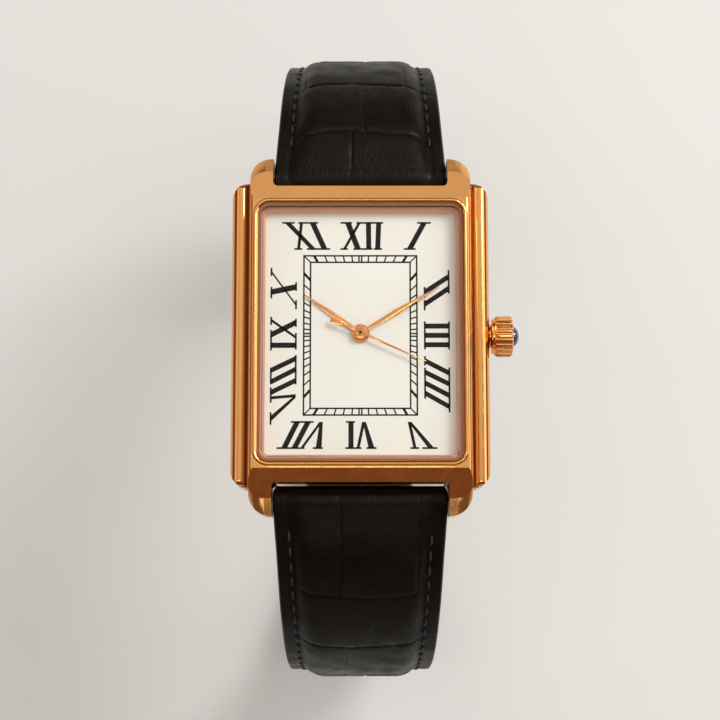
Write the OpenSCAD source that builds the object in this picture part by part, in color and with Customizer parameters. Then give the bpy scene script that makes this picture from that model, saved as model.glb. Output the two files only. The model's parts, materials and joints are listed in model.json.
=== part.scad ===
// Rectangular wristwatch with stepped side rails, a gem-set crown and an open leather strap.
// Z points out of the dial, 12 o'clock is +Y, 3 o'clock is +X. The origin is the middle of the
// case back's outer face.

/* [Case] */
// Width of the case body between its side rails
body_w = 22.7; // [22.5:0.1:26]
// Length of the case body between the strap ends
body_l = 30.6; // [30.2:0.1:34]
// Distance over the tips of the lugs
lug_span = 37.2; // [36.8:0.1:41]
// Gap between the lugs, which takes the strap
lug_gap = 18; // [17:0.1:19]
// Height of the case's underside above the case back's outer face
case_bottom = 0.5; // [0.4:0.05:0.7]
// Height of the case's top face above the case back's outer face
case_top = 6.1; // [6:0.05:6.4]
// Height at which the top slope meets the strap end
shoulder_z = 5.3; // [5:0.05:5.6]
// Radius of the lug tips seen from above
lug_corner_r = 2.2; // [1.4:0.1:2.4]
// Length of the lugs' sloping noses seen from above
lug_nose = 1.7; // [1.4:0.1:2]
// Distance over the two side rails
rail_span = 26.5; // [26:0.1:30]
// Length of the side rails
rail_l = 31.8; // [30:0.1:35]
// Radius of the rails' rounded crest
rail_r = 0.95; // [0.7:0.05:1]
// Height of the rails' crest
rail_top = 4.9; // [4.6:0.05:5.1]
// Radius of the rails' corners seen from above
rail_corner_r = 2; // [1.2:0.1:2.5]

/* [Bezel, crystal and dial] */
// Distance from the bezel ring to the side of the case body
bezel_side = 0.35; // [0.25:0.05:0.5]
// Distance from the bezel ring to the end wall of the case body
bezel_end = 1.5; // [1.3:0.1:1.8]
// Width of the bezel's bright lip
bezel_lip = 0.6; // [0.5:0.05:0.7]
// Height of the bezel above the case's top face
bezel_h = 0.85; // [0.6:0.05:1]
// Thickness of the crystal
crystal_t = 1.1; // [0.8:0.05:1.3]
// Width of the seal round the crystal
seal_w = 0.2; // [0.15:0.01:0.25]
// Width of the flange seen round the dial
flange_w = 0.62; // [0.5:0.01:0.7]
// Height of the flange above the dial
flange_h = 1.05; // [1:0.01:1.1]
// Thickness of the dial
dial_t = 0.4; // [0.3:0.05:0.45]
// Height of the dial's top face
dial_top = 4.75; // [4.7:0.01:4.8]

/* [Hands] */
// Hour that the hour hand shows at rest
hours = 10.16; // [0:0.01:12]
// Minute that the minute hand shows at rest
minutes = 9.9; // [0:0.1:60]
// Second that the second hand shows at rest
seconds = 19; // [0:1:60]
// Length of the hour hand from its axis
hour_len = 7; // [5:0.1:8]
// Length of the minute hand from its axis
minute_len = 9.4; // [8:0.1:10]
// Length of the second hand from its axis
second_len = 7.3; // [6:0.1:9]
// Length of the second hand's counterweight from its axis
second_tail = 3.3; // [2.5:0.1:4]
// Thickness of a hand at its ridge
hand_t = 0.15; // [0.1:0.01:0.17]

/* [Crown] */
// Height of the winding stem's axis
stem_z = 2.9; // [2.8:0.01:3]
// Radius of the crown over its flutes
crown_r = 2.1; // [1.8:0.05:2.3]
// Length of the crown's barrel
crown_l = 2.25; // [2:0.05:2.6]
// Number of flutes round the crown
flutes = 24; // [18:1:28]
// Radius of the stone in the crown
stone_r = 1.02; // [0.8:0.02:1.2]
// Height of the stone above the crown
stone_h = 0.62; // [0.4:0.02:0.8]
// Travel of the crown when it is pulled out
pull = 0.8; // [0.5:0.05:0.9]

/* [Movement] */
// Width of the main plate
plate_w = 14.8; // [14.6:0.1:15.2]
// Length of the main plate
plate_l = 18.7; // [18.6:0.1:19.4]
// Thickness of the main plate
plate_t = 0.7; // [0.5:0.05:0.75]
// Height of the main plate's underside
plate_z = 3; // [2.98:0.01:3.05]
// Height of the train bridge's underside
bridge_z = 1.45; // [1.4:0.01:1.5]
// Thickness of the train bridge
bridge_t = 0.4; // [0.3:0.05:0.45]
// Radius of the button cell
cell_r = 3.4; // [3:0.05:3.5]
// Thickness of the button cell
cell_t = 1.65; // [1.4:0.05:1.7]
// Radial play of a wheel pivot or pipe in its hole
play = 0.05; // [0.02:0.01:0.07]
// Thickness of a train wheel
wheel_t = 0.15; // [0.1:0.01:0.16]

/* [Case back] */
// Thickness of the case back's plate
back_t = 0.8; // [0.7:0.05:0.9]
// Margin of the case body outside the case back
back_margin = 0.8; // [0.6:0.05:1]
// Radius of a case back screw's head
screw_r = 0.75; // [0.6:0.05:0.85]

/* [Strap] */
// Distance from the case body's end wall to a spring bar's axis
bar_out = 1.8; // [1.75:0.05:1.9]
// Height of the spring bars' axis
bar_z = 2; // [1.9:0.05:2.2]
// Radius of a spring bar
bar_r = 0.75; // [0.6:0.05:0.8]
// Radius of the strap's rolled end at a spring bar
roll_r = 1.55; // [1.4:0.05:1.55]
// Side play of the strap between the lugs
strap_play = 0.15; // [0.1:0.05:0.3]
// Width of the strap at the buckle
strap_end_w = 14; // [13:0.1:15]
// Height of the padding above the strap's stitched edge
pad_h = 0.95; // [0.5:0.05:1.1]
// Thickness of the strap at its ends
strap_end_t = 2.3; // [2:0.05:2.4]
// Thickness of the lining
lining_t = 0.8; // [0.5:0.05:0.9]
// Radius of the strap's bend beside the case
shoulder_r = 19.5; // [18:0.5:21]
// Radius of the buckle half's inward bend
leg_r = 26; // [24:0.5:28]
// Length of the buckle half's straight end
leg_run = 20; // [18:0.5:22]
// Length of the tail half's straight fall
drop = 20; // [18:0.5:22]
// Radius of the tail half's bend at the bottom
heel_r = 24; // [22:0.5:26]
// Length of the tail's straight run at the bottom
tail_run = 20; // [16:0.5:22]
// Radius of the tail's tip
tip_r = 8; // [7:0.1:8.5]
// Number of buckle holes in the tail
strap_holes = 7; // [5:1:7]
// Distance between neighbouring buckle holes
hole_pitch = 6; // [5:0.1:6.5]
// Radius of a buckle hole
hole_r = 0.8; // [0.7:0.05:0.95]

/* [Buckle and keepers] */
// Length of the buckle from its bar to the outside of its front
buckle_l = 8.6; // [8:0.1:9]
// Thickness of the buckle frame
buckle_t = 1.7; // [1.4:0.05:1.8]
// Width of the buckle frame's arms
buckle_arm = 1.35; // [1.2:0.05:1.6]
// Width of the buckle tongue
tongue_w = 1.7; // [1.4:0.05:1.9]
// Length of a keeper along the strap
keeper_l = 4.6; // [4:0.1:5]
// Thickness of a keeper's band
keeper_t = 0.9; // [0.7:0.05:1]
// Distance from the buckle's bar to the fixed keeper
keeper_back = 3.8; // [3.6:0.1:4]

/* [Hidden] */
$fn = 64;
eps = 0.01;
slip = 0.03; // gap between rigid pieces that are pressed or screwed together
plate_gap = 0.05; // gap round a plate in its recess
gold = [0.85, 0.6, 0.38];
steel = [0.75, 0.76, 0.78];
brass = [0.82, 0.7, 0.42];
hide = [0.1, 0.08, 0.07];

// Levels inside the case
dial_z = dial_top - dial_t;
crystal_z = dial_top + flange_h;
ledge_z = dial_top + 0.45;
cavity_z = back_t;
plate_top = plate_z + plate_t;
bridge_top = bridge_z + bridge_t;
holder_z = back_t + 0.55;

// Openings of the case, as half sizes from the bezel inwards
bezel_w = body_w - 2 * bezel_side;
bezel_l = body_l - 2 * bezel_end;
bezel_r = 1.7;
pocket_w = bezel_w - bezel_lip;
pocket_l = bezel_l - bezel_lip;
skirt_w = bezel_w - 2 * bezel_lip;
skirt_l = bezel_l - 2 * bezel_lip;
skirt_r = bezel_r - bezel_lip;
crystal_w = skirt_w - 2 * seal_w;
crystal_l = skirt_l - 2 * seal_w;
crystal_r = skirt_r - seal_w;
cavity_w = crystal_w;
cavity_l = crystal_l - 0.2;
opening_w = crystal_w - 2 * flange_w + 0.3;
opening_l = crystal_l - 2 * flange_w + 0.3;
flange_r = skirt_r - slip;
flange_step = (skirt_l - cavity_l) / 2 - slip + plate_gap;
cavity_r = flange_r - flange_step;

// Wheel train: teeth, modules and places
second_pinion_n = 8;
third_wheel_n = 60;
third_pinion_n = 8;
centre_wheel_n = 64;
second_wheel_n = 60;
fifth_pinion_n = 8;
fifth_wheel_n = 32;
rotor_pinion_n = 8;
cannon_n = 12;
minute_wheel_n = 36;
minute_pinion_n = 10;
hour_wheel_n = 40;
setting_wheel_n = 16;
train_m = 0.1;
third_d = train_m * (second_pinion_n + third_wheel_n) / 2;
centre_m = 2 * third_d / (third_pinion_n + centre_wheel_n);
fifth_d = train_m * (second_wheel_n + fifth_pinion_n) / 2;
rotor_d = train_m * (fifth_wheel_n + rotor_pinion_n) / 2;
motion_d = train_m * (cannon_n + minute_wheel_n) / 2;
hour_m = 2 * motion_d / (minute_pinion_n + hour_wheel_n);
setting_d = train_m * (minute_wheel_n + setting_wheel_n) / 2;
third_a = 150;
fifth_a = -75;
rotor_a = -130;
motion_a = -35;
setting_a = 35;
function polar(d, a) = [d * cos(a), d * sin(a)];
third_p = polar(third_d, third_a);
fifth_p = polar(fifth_d, fifth_a);
rotor_p = fifth_p + polar(rotor_d, rotor_a);
motion_p = polar(motion_d, motion_a);
setting_p = motion_p + polar(setting_d, setting_a);
cell_p = [3.5, 5.85];
// Turn of a driven wheel whose teeth then fall between those of its driver
function mesh_turn(turn, driver_n, driven_n, a) =
    a + 180 + 360 / driven_n * (0.5 - (turn - a) * driver_n / 360);

// Radii of the arbors at the middle of the dial, from the inside out
second_arbor_r = 0.13;
cannon_in = second_arbor_r + play;
cannon_out = 0.38;
hour_in = cannon_out + play;
hour_out = 0.62;
pivot_r = 0.08;
arbor_r = 0.15;

// Heights in the wheel train
third_z = bridge_top + 0.2;
second_z = third_z + wheel_t + 0.2;
centre_z = plate_z - wheel_t - 0.1;
motion_z = plate_top + 0.08;
hour_z = motion_z + wheel_t + 0.08;
hour_hand_z = dial_top + 0.2;
minute_hand_z = hour_hand_z + hand_t + 0.12;
second_hand_z = minute_hand_z + hand_t + 0.12;

// Places of the pillars and screws that hold the bridge to the main plate
pillars = [[1.4 - plate_w / 2, -3.6], [plate_w / 2 - 1.8, -4], [1.4 - plate_w / 2, 4.2]];
pillar_r = 0.75;
bridge_screw_r = 0.3;

// Crown and stem
stem_r = 0.45;
tube_in = stem_r + play;
tube_r = 0.95;
tube_end = rail_span / 2 + 1.35;
crown_x = rail_span / 2 + 0.27;
skirt_bore = tube_r + 0.3;
skirt_depth = tube_end - crown_x + 0.15;
square_a = 0.5;
pinion_x = [4.75, 5.75];
lever_p = [6.6, 1.9];
lever_room = 0.75; // half width of the main plate's foot under the setting lever
lever_reach = lever_p[1] - 0.3;
groove_x = lever_p[0] - pull / 2;
finger_w = 0.3;
groove_r = 0.22;

// Strap routes: a start, then stretches of [length, radius], where radius 0 is straight
bar_y = body_l / 2 + bar_out;
strap_w = lug_gap - 2 * strap_play;
start_a = 18;
start_l = 2.5;
shoulder_l = shoulder_r * (90 - start_a) * PI / 180;
leg_turn = 30;
leg_l = leg_r * leg_turn * PI / 180;
heel_l = heel_r * PI / 2;
route_start = [bar_y, bar_z, start_a];
buckle_route = [[start_l, 0], [shoulder_l, shoulder_r], [leg_l, leg_r], [leg_run, 0]];
tail_route = [[start_l, 0], [shoulder_l, shoulder_r], [drop, 0], [heel_l, heel_r], [tail_run, 0]];
function total(route, i = 0) = i == len(route) ? 0 : route[i][0] + total(route, i + 1);
buckle_len = total(buckle_route);
tail_len = total(tail_route);
function turned(stretch, s) = stretch[1] == 0 ? 0 : s / stretch[1] * 180 / PI;
function stepped(p, stretch, s) = stretch[1] == 0
    ? [p[0] + s * cos(p[2]), p[1] - s * sin(p[2]), p[2]]
    : let (q = p[2] + turned(stretch, s))
        [p[0] + stretch[1] * (sin(q) - sin(p[2])), p[1] + stretch[1] * (cos(q) - cos(p[2])), q];
function along(p, route, s, i = 0) = i == len(route) - 1 || s <= route[i][0]
    ? stepped(p, route[i], s)
    : along(stepped(p, route[i], route[i][0]), route, s - route[i][0], i + 1);
function at(route, s) = along(route_start, route, s);

// Strap sections. s is the distance along the route and n the height off its middle line
function blend(a, b, t) = a + (b - a) * min(max(t, 0), 1);
taper_l = 42;
function width_at(s) = blend(strap_w, strap_end_w, s / taper_l);
function inner_at(s) = -blend(roll_r - 0.05, strap_end_t / 2, s / 30);
function edge_at(s) = blend(roll_r - 0.35, strap_end_t / 2 - 0.1, s / 30);
function pad_at(s, full) = pad_h * blend(0.25, 1, s / 5) * blend(1, 0.1, (s - 14) / (full - 34));
edge_band = 1.3;
edge_drop = 0.15;
pad_slope = 1.7;
loop_l = 2.2;
end_l = 4;
function tip_at(s, full, r) = s < full - r ? 1 : sqrt(max(1 - pow((s - full + r) / r, 2), 0.02));
function lifted(route, s, x, n) = let (p = at(route, s)) [x, p[0] + n * sin(p[2]), p[1] + n * cos(p[2])];
function leather_section(s, full, tip_r) = let (
    w = width_at(s) / 2 * tip_at(s, full, tip_r),
    low = inner_at(s) + lining_t,
    edge = edge_at(s),
    top = edge + pad_at(s, full),
    band = min(edge_band, w / 3),
    slope = min(pad_slope, w / 3))
    [[-w, low], [w, low], [w, edge - edge_drop], [w - band, edge], [w - band - slope, top],
        [band + slope - w, top], [band - w, edge], [-w, edge - edge_drop]];
function leather_ring(route, s, full, tip_r) =
    [for (q = leather_section(s, full, tip_r)) lifted(route, s, q[0], q[1])];
function lining_ring(route, s, full, tip_r) = let (
    w = (width_at(s) / 2 - 0.1) * tip_at(s, full, tip_r),
    low = inner_at(s),
    top = low + lining_t - slip)
    [for (q = [[-w, low], [w, low], [w, top], [-w, top]]) lifted(route, s, q[0], q[1])];

// Buckle and keepers, in the strap end's own directions
bar_hole_r = bar_r + 0.08;
buckle_bar_r = 0.65;
buckle_hole_r = buckle_bar_r + 0.07;
end_roll_r = 1.3;
arm_gap = strap_end_w + 0.5;
buckle_w = arm_gap + 2 * buckle_arm;
tongue_ring_r = 1.2;
tongue_slot = tongue_w + 0.7;
slot_l = 2.4;
keeper_gap = 0.3;
fixed_keeper_s = buckle_len - keeper_l - keeper_back;
free_keeper_s = fixed_keeper_s - keeper_l - 2.4;

// Rounded rectangle in the plane, centred
module rounded_rect(w, l, r) {
    square([w - 2 * r, l], center = true);
    square([w, l - 2 * r], center = true);
    for (x = [-1, 1], y = [-1, 1]) translate([x * (w / 2 - r), y * (l / 2 - r)]) circle(r);
}

// Rounded rectangular plate standing on height z
module plate(w, l, r, z, h) {
    translate([0, 0, z]) linear_extrude(h) rounded_rect(w, l, r);
}

// Sweeps a profile round a rounded rectangle. The profile's x is the distance outside the path
module ring_sweep(w, l, r) {
    for (k = [0 : 3]) {
        across = k % 2 == 0 ? w : l;
        run = k % 2 == 0 ? l : w;
        rotate([0, 0, 90 * k]) {
            translate([across / 2, run / 2 - r, 0])
                rotate([90, 0, 0]) linear_extrude(run - 2 * r) children();
            translate([across / 2 - r, run / 2 - r, 0])
                rotate_extrude(angle = 90) translate([r, 0]) children();
        }
    }
}

// Prism whose outline is seen from 3 o'clock, in y and z
module side_prism(w) {
    rotate([90, 0, 90]) linear_extrude(w, center = true) children();
}

// Prism whose outline is seen from 6 o'clock, in x and z
module front_prism(l) {
    rotate([90, 0, 0]) linear_extrude(l, center = true) children();
}

// Cylinder along X from x0 to x1
module x_cylinder(r, x0, x1) {
    translate([x0, 0, 0]) rotate([0, 90, 0]) cylinder(r = r, h = x1 - x0);
}

// Closed skin over a row of rings that have the same number of points
module skin(rings) {
    m = len(rings[0]);
    last = (len(rings) - 1) * m;
    polyhedron(
        points = [for (r = rings) each r],
        faces = concat(
            [[for (k = [m : -1 : 1]) k % m]],
            [for (j = [0 : len(rings) - 2], k = [0 : m - 1])
                [j * m + k, j * m + (k + 1) % m, (j + 1) * m + (k + 1) % m, (j + 1) * m + k]],
            [[for (k = [0 : m - 1]) last + k]]));
}

// Outline of a wheel with n teeth of module m
module teeth(n, m) {
    pitch = 360 / n;
    steps = [[-0.31, -1.25], [-0.24, 0], [-0.17, 0.6], [-0.06, 0.95],
        [0.06, 0.95], [0.17, 0.6], [0.24, 0], [0.31, -1.25]];
    polygon([for (k = [0 : n - 1], q = steps)
        let (a = (k + q[0]) * pitch, r = m * (n / 2 + q[1])) [r * cos(a), r * sin(a)]]);
}

// Pinion or toothed disc with a hole, standing on height z
module pinion(n, m, z, h, hole_r, turn = 0) {
    translate([0, 0, z]) rotate([0, 0, turn]) linear_extrude(h) difference() {
        teeth(n, m);
        circle(hole_r);
    }
}

// Wheel with a rim, spokes and a hub
module wheel(n, m, z, h, hub_r, hole_r, spokes, turn = 0) {
    rim_in = m * (n / 2 - 1.25) - 0.25;
    translate([0, 0, z]) rotate([0, 0, turn]) linear_extrude(h) {
        difference() {
            teeth(n, m);
            circle(rim_in);
        }
        difference() {
            union() {
                circle(hub_r + 0.2);
                for (k = [0 : spokes - 1]) rotate(360 / spokes * k)
                    translate([0, -0.15]) square([rim_in + 0.1, 0.3]);
            }
            circle(hole_r);
        }
    }
}

// Arbor with a thinner pivot at each end
module arbor(r, z0, z1, pivot_len) {
    translate([0, 0, z0 + pivot_len]) cylinder(r = r, h = z1 - z0 - 2 * pivot_len);
    translate([0, 0, z0]) cylinder(r = pivot_r, h = z1 - z0);
}

// Case outline from above: the body, four lugs and the gaps between them
module case_plan() {
    difference() {
        rounded_rect(body_w, lug_span, lug_corner_r);
        for (s = [-1, 1]) translate([0, s * lug_span / 2])
            rounded_rect(lug_gap, lug_span - body_l, 0.5);
    }
}

// Case outline from the side: flat under the bezel, sloping to the lugs' rounded feet
module case_side() {
    flat_y = bezel_l / 2 + 0.1;
    nose_y = lug_span / 2 - lug_nose;
    foot_r = 0.8;
    foot_y = lug_span / 2 - foot_r;
    fall = (case_top - shoulder_z) / (nose_y - flat_y);
    low_z = shoulder_z - fall * (lug_nose + 1);
    intersection() {
        polygon([[-flat_y, case_top], [flat_y, case_top], [lug_span / 2 + 1, low_z],
            [lug_span / 2 + 1, 0], [-lug_span / 2 - 1, 0], [-lug_span / 2 - 1, low_z]]);
        union() {
            translate([-lug_span / 2 - 0.1, case_bottom + foot_r]) square([lug_span + 0.2, case_top]);
            translate([-foot_y, case_bottom]) square([2 * foot_y, case_top]);
            for (s = [-1, 1]) translate([s * foot_y, case_bottom + foot_r]) circle(foot_r);
        }
    }
}

// Prism that leans inwards from the lug tips and gives the noses a curved crease
module nose_prism(s) {
    nose_h = 1.45;
    nose_r = 3;
    lean = atan2(lug_nose, nose_h);
    translate([0, s * lug_span / 2, shoulder_z - nose_h]) rotate([s * lean, 0, 0])
        translate([0, -s * lug_span, -case_top]) linear_extrude(2 * lug_span)
            rounded_rect(body_w + 2.8, 2 * lug_span, nose_r);
}

// Case body section: straight sides with rounded top edges
module case_front() {
    edge_r = 0.5;
    translate([-body_w / 2, case_bottom]) square([body_w, case_top - case_bottom - edge_r]);
    translate([edge_r - body_w / 2, case_bottom])
        square([body_w - 2 * edge_r, case_top - case_bottom]);
    for (s = [-1, 1]) translate([s * (body_w / 2 - edge_r), case_top - edge_r]) circle(edge_r);
}

// Half-round section with a flat foot, as wide as span, for the rails
module rail_section(span) {
    foot_r = 0.4;
    rail_bottom = case_bottom + 0.5;
    translate([-span / 2, rail_bottom + foot_r])
        square([span, rail_top - rail_r - rail_bottom - foot_r]);
    translate([foot_r - span / 2, rail_bottom])
        square([span - 2 * foot_r, rail_top - rail_r - rail_bottom]);
    translate([rail_r - span / 2, rail_bottom])
        square([span - 2 * rail_r, rail_top - rail_bottom]);
    for (s = [-1, 1]) {
        translate([s * (span / 2 - rail_r), rail_top - rail_r]) circle(rail_r);
        translate([s * (span / 2 - foot_r), rail_bottom + foot_r]) circle(foot_r);
    }
}

back_w = body_w - 2 * back_margin;
back_l = body_l - 2 * back_margin;
back_corner_r = 1.6;
screw_x = back_w / 2 - 1.2;
screw_y = back_l / 2 - screw_r - 0.2;
screw_shank_r = 0.38;
screw_depth = 1.5;
bar_tip_r = 0.4;
bar_tip_l = 0.9;

module case_middle() {
    color(gold) difference() {
        union() {
            intersection() {
                linear_extrude(case_top) case_plan();
                side_prism(body_w) case_side();
                front_prism(lug_span + 1) case_front();
                nose_prism(1);
                nose_prism(-1);
            }
            difference() {
                intersection() {
                    plate(rail_span, rail_l, rail_corner_r, 0, case_top);
                    front_prism(rail_l) union() {
                        intersection() {
                            rail_section(rail_span);
                            translate([-rail_span / 2, 0]) square([rail_span, rail_top - rail_r / 2]);
                        }
                        for (s = [-1, 1])
                            translate([s * (rail_span / 2 - rail_r), rail_top - rail_r]) circle(rail_r);
                    }
                    side_prism(rail_span) rail_section(rail_l);
                }
                linear_extrude(case_top) square([lug_gap + 1, lug_span], center = true);
            }
        }
        plate(pocket_w, pocket_l, bezel_r - bezel_lip / 2, ledge_z, case_top);
        plate(cavity_w, cavity_l, cavity_r, cavity_z - eps, case_top);
        plate(back_w + 2 * plate_gap, back_l + 2 * plate_gap, back_corner_r, 0, back_t);
        for (x = [-1, 1], y = [-1, 1]) {
            translate([x * screw_x, y * screw_y, 0])
                cylinder(r = screw_shank_r + slip, h = back_t + screw_depth + 0.1);
            translate([0, y * bar_y, bar_z]) x_cylinder(bar_tip_r + slip, -lug_gap / 2 - bar_tip_l - slip,
                lug_gap / 2 + bar_tip_l + slip);
        }
        translate([0, 0, stem_z]) x_cylinder(tube_r + slip, 0, rail_span);
    }
}

module bezel() {
    lip_r = 0.3;
    top = case_top + bezel_h;
    color(gold) ring_sweep(bezel_w, bezel_l, bezel_r) polygon(concat(
        [[-bezel_lip, ledge_z], [-bezel_lip / 2 - slip, ledge_z], [-bezel_lip / 2 - slip, case_top],
            [0, case_top]],
        [for (a = [0 : 15 : 90]) [lip_r * cos(a) - lip_r, top + lip_r * sin(a) - lip_r]],
        [[-bezel_lip, top - 0.2]]));
}

module crystal() {
    bevel = 0.2;
    top = crystal_z + crystal_t;
    color([0.85, 0.9, 0.92, 0.35]) difference() {
        plate(crystal_w, crystal_l, crystal_r, crystal_z, crystal_t);
        ring_sweep(crystal_w, crystal_l, crystal_r)
            polygon([[eps, top - bevel], [eps, top + eps], [-bevel, top + eps]]);
    }
}

module crystal_seal() {
    seal_h = 0.8;
    color([0.15, 0.15, 0.15]) ring_sweep(skirt_w, skirt_l, skirt_r)
        polygon([[-seal_w, crystal_z], [0, crystal_z], [0, crystal_z + seal_h],
            [-seal_w, crystal_z + seal_h]]);
}

module dial_flange() {
    inner = (skirt_w - opening_w) / 2 - slip;
    color([0.8, 0.58, 0.44]) ring_sweep(skirt_w - 2 * slip, skirt_l - 2 * slip, flange_r)
        polygon([[0, ledge_z], [0, crystal_z], [0.12 - inner, crystal_z], [-inner, crystal_z - 0.2],
            [0.04 - inner, dial_top], [-flange_step, dial_top], [-flange_step, ledge_z]]);
}

dial_foot_p = [6.2, -8];
dial_foot_r = 0.25;

module dial() {
    color([0.95, 0.93, 0.87]) {
        difference() {
            plate(cavity_w - 2 * plate_gap, cavity_l - 2 * plate_gap, cavity_r, dial_z, dial_t);
            cylinder(r = hour_out + 0.15, h = case_top);
        }
        for (s = [0, 180]) rotate([0, 0, s]) translate([dial_foot_p[0], dial_foot_p[1], plate_z + 0.1])
            cylinder(r = dial_foot_r, h = dial_z - plate_z - 0.1);
    }
}

// Hand with a ridge down its middle. rows holds the half width at distances from the axis
module ridged_hand(rows, hub, hole) {
    difference() {
        union() {
            intersection() {
                linear_extrude(hand_t) polygon(concat([for (q = rows) [-q[1], q[0]]],
                    [for (k = [len(rows) - 1 : -1 : 0]) [rows[k][1], rows[k][0]]]));
                front_prism(3 * minute_len) polygon([[-0.6, 0], [0.6, 0], [0, hand_t]]);
            }
            cylinder(r = hub, h = hand_t * 0.7);
        }
        translate([0, 0, -hand_t]) cylinder(r = hole, h = 1);
    }
}

module hour_hand() {
    color(gold) translate([0, 0, hour_hand_z]) rotate([0, 0, -30 * hours])
        ridged_hand([[0.5, 0.26], [hour_len * 0.55, 0.24], [hour_len, 0.03]], 0.95, hour_out);
}

module minute_hand() {
    color(gold) translate([0, 0, minute_hand_z]) rotate([0, 0, -6 * minutes])
        ridged_hand([[0.4, 0.15], [minute_len * 0.45, 0.28], [minute_len, 0.03]], 0.75, cannon_out);
}

module second_hand() {
    tail_w = 0.45;
    tail_l = 1.2;
    color(gold) translate([0, 0, second_hand_z]) rotate([0, 0, -6 * seconds]) {
        ridged_hand([[0.1 - second_tail, 0.09], [0, 0.14], [second_len, 0.04]], 0.55, second_arbor_r);
        translate([-tail_w / 2, -second_tail, 0]) cube([tail_w, tail_l, hand_t]);
    }
}

module movement_holder() {
    color([0.9, 0.9, 0.88]) difference() {
        plate(cavity_w - 2 * plate_gap, cavity_l - 2 * plate_gap, cavity_r, holder_z, dial_z - holder_z);
        plate(plate_w + 2 * plate_gap, plate_l + 2 * plate_gap, 1, 0, case_top);
        translate([0, 0, stem_z]) x_cylinder(tube_r + 0.1, 0, rail_span);
        translate([0, -tube_r - 0.1, 0]) cube([rail_span, 2 * tube_r + 0.2, stem_z]);
        cube([lever_p[0] + lever_room + plate_gap, lever_p[1] + 1.6, case_top]);
    }
}

module main_plate() {
    slot = [pinion_x[0] - 0.2, 0.85];
    stud_r = 0.2;
    color(brass) difference() {
        union() {
            plate(plate_w, plate_l, 1, plate_z, plate_t);
            translate([0, lever_p[1] - lever_room, plate_z])
                cube([lever_p[0] + lever_room, 2 * lever_room, plate_t]);
            for (p = pillars) translate([p[0], p[1], bridge_top])
                cylinder(r = pillar_r, h = plate_z - bridge_top + eps);
            translate([motion_p[0], motion_p[1], plate_top - eps])
                cylinder(r = stud_r, h = hour_z + wheel_t + 0.1 - plate_top);
            translate([setting_p[0], setting_p[1], plate_top - eps])
                cylinder(r = stud_r, h = wheel_t + 0.3);
            translate([lever_p[0], lever_p[1], stem_z - 0.35])
                cylinder(r = stud_r, h = plate_z - stem_z + 0.35 + eps);
        }
        cylinder(r = cannon_out + play, h = case_top);
        for (p = [third_p, fifth_p, rotor_p]) translate([p[0], p[1], plate_z - eps])
            cylinder(r = pivot_r + play, h = plate_t / 2);
        for (p = pillars) translate([p[0], p[1], bridge_top - eps])
            cylinder(r = bridge_screw_r + slip, h = 1);
        for (s = [0, 180]) rotate([0, 0, s]) translate([dial_foot_p[0], dial_foot_p[1], 0])
            cylinder(r = dial_foot_r + slip, h = case_top);
        translate([slot[0], -slot[1], plate_z - 1]) cube([plate_w, 2 * slot[1], 3]);
    }
}

// Plan of the bridge and of the circuit board: both leave room for the button cell
module bridge_plan(top) {
    difference() {
        translate([-plate_w / 2 + 0.2, -plate_l / 2 + 0.2])
            square([plate_w - 0.4, top + plate_l / 2 - 0.2]);
        translate(cell_p) circle(cell_r + 0.25);
        translate([cell_p[0], cell_p[1] - cell_r * 0.7]) square([plate_w, plate_l]);
    }
}

module train_bridge() {
    color(brass) translate([0, 0, bridge_z]) linear_extrude(bridge_t) difference() {
        bridge_plan(5);
        for (p = [[0, 0], third_p, fifth_p, rotor_p]) translate(p) circle(pivot_r + play);
        for (p = pillars) translate(p) circle(bridge_screw_r + slip);
    }
}

module bridge_screws() {
    head_r = 0.6;
    color(steel) for (p = pillars) translate([p[0], p[1], 0]) difference() {
        union() {
            translate([0, 0, bridge_z - 0.25]) cylinder(r = head_r, h = 0.25);
            translate([0, 0, bridge_z - eps]) cylinder(r = bridge_screw_r, h = bridge_t + 0.8);
        }
        translate([-head_r, -0.1, bridge_z - 0.26]) cube([2 * head_r, 0.2, 0.12]);
    }
}

module circuit_board() {
    board_t = 0.2;
    color([0.12, 0.35, 0.2]) difference() {
        union() {
            translate([0, 0, bridge_z - board_t]) linear_extrude(board_t) bridge_plan(plate_l / 2 - 0.2);
            translate([-4.6, -1.5, bridge_z - board_t - 0.1]) cube([2.4, 2.4, 0.2]);
        }
        for (p = pillars) translate([p[0], p[1], 0]) cylinder(r = 0.7, h = case_top);
    }
}

module quartz_can() {
    can_r = 0.6;
    color(steel) translate([0, plate_l / 2 - 2.15, bridge_z + can_r + 0.03])
        x_cylinder(can_r, 1.6 - plate_w / 2, -1);
}

coil_y = -7.5;
core_z = second_z - 0.25;

module coil() {
    wire_r = 0.4;
    color([0.75, 0.4, 0.2]) {
        translate([-4.4, coil_y - 0.6, core_z]) cube([8.8, 1.2, 0.25]);
        translate([0, coil_y, core_z + 0.12]) x_cylinder(wire_r, -2.8, 2.8);
        for (x = [-3, 2.8]) translate([x, coil_y - 0.65, core_z - 0.25]) cube([0.2, 1.3, 0.75]);
    }
}

module stator() {
    arm = 1.3;
    color(steel) translate([0, 0, core_z + 0.27]) linear_extrude(0.3) difference() {
        union() {
            translate([-4.4, coil_y - 0.6]) square([arm, 3.6]);
            translate([3.1, coil_y - 0.6]) square([arm, 3.6]);
            translate([-4.4, rotor_p[1] - 0.3]) square([8.8, 0.6]);
            translate(rotor_p) circle(1.25);
        }
        translate(rotor_p) circle(0.8);
        translate(fifth_p) circle(0.75);
    }
}

module button_cell() {
    cap_h = 0.35;
    base = bridge_z - 0.3;
    color(steel) translate([cell_p[0], cell_p[1], base]) rotate_extrude()
        polygon([[0, 0], [cell_r - 0.1, 0], [cell_r, 0.1], [cell_r, cell_t - cap_h],
            [cell_r - 0.6, cell_t - cap_h + 0.1], [cell_r - 0.6, cell_t], [0, cell_t]]);
}

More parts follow.
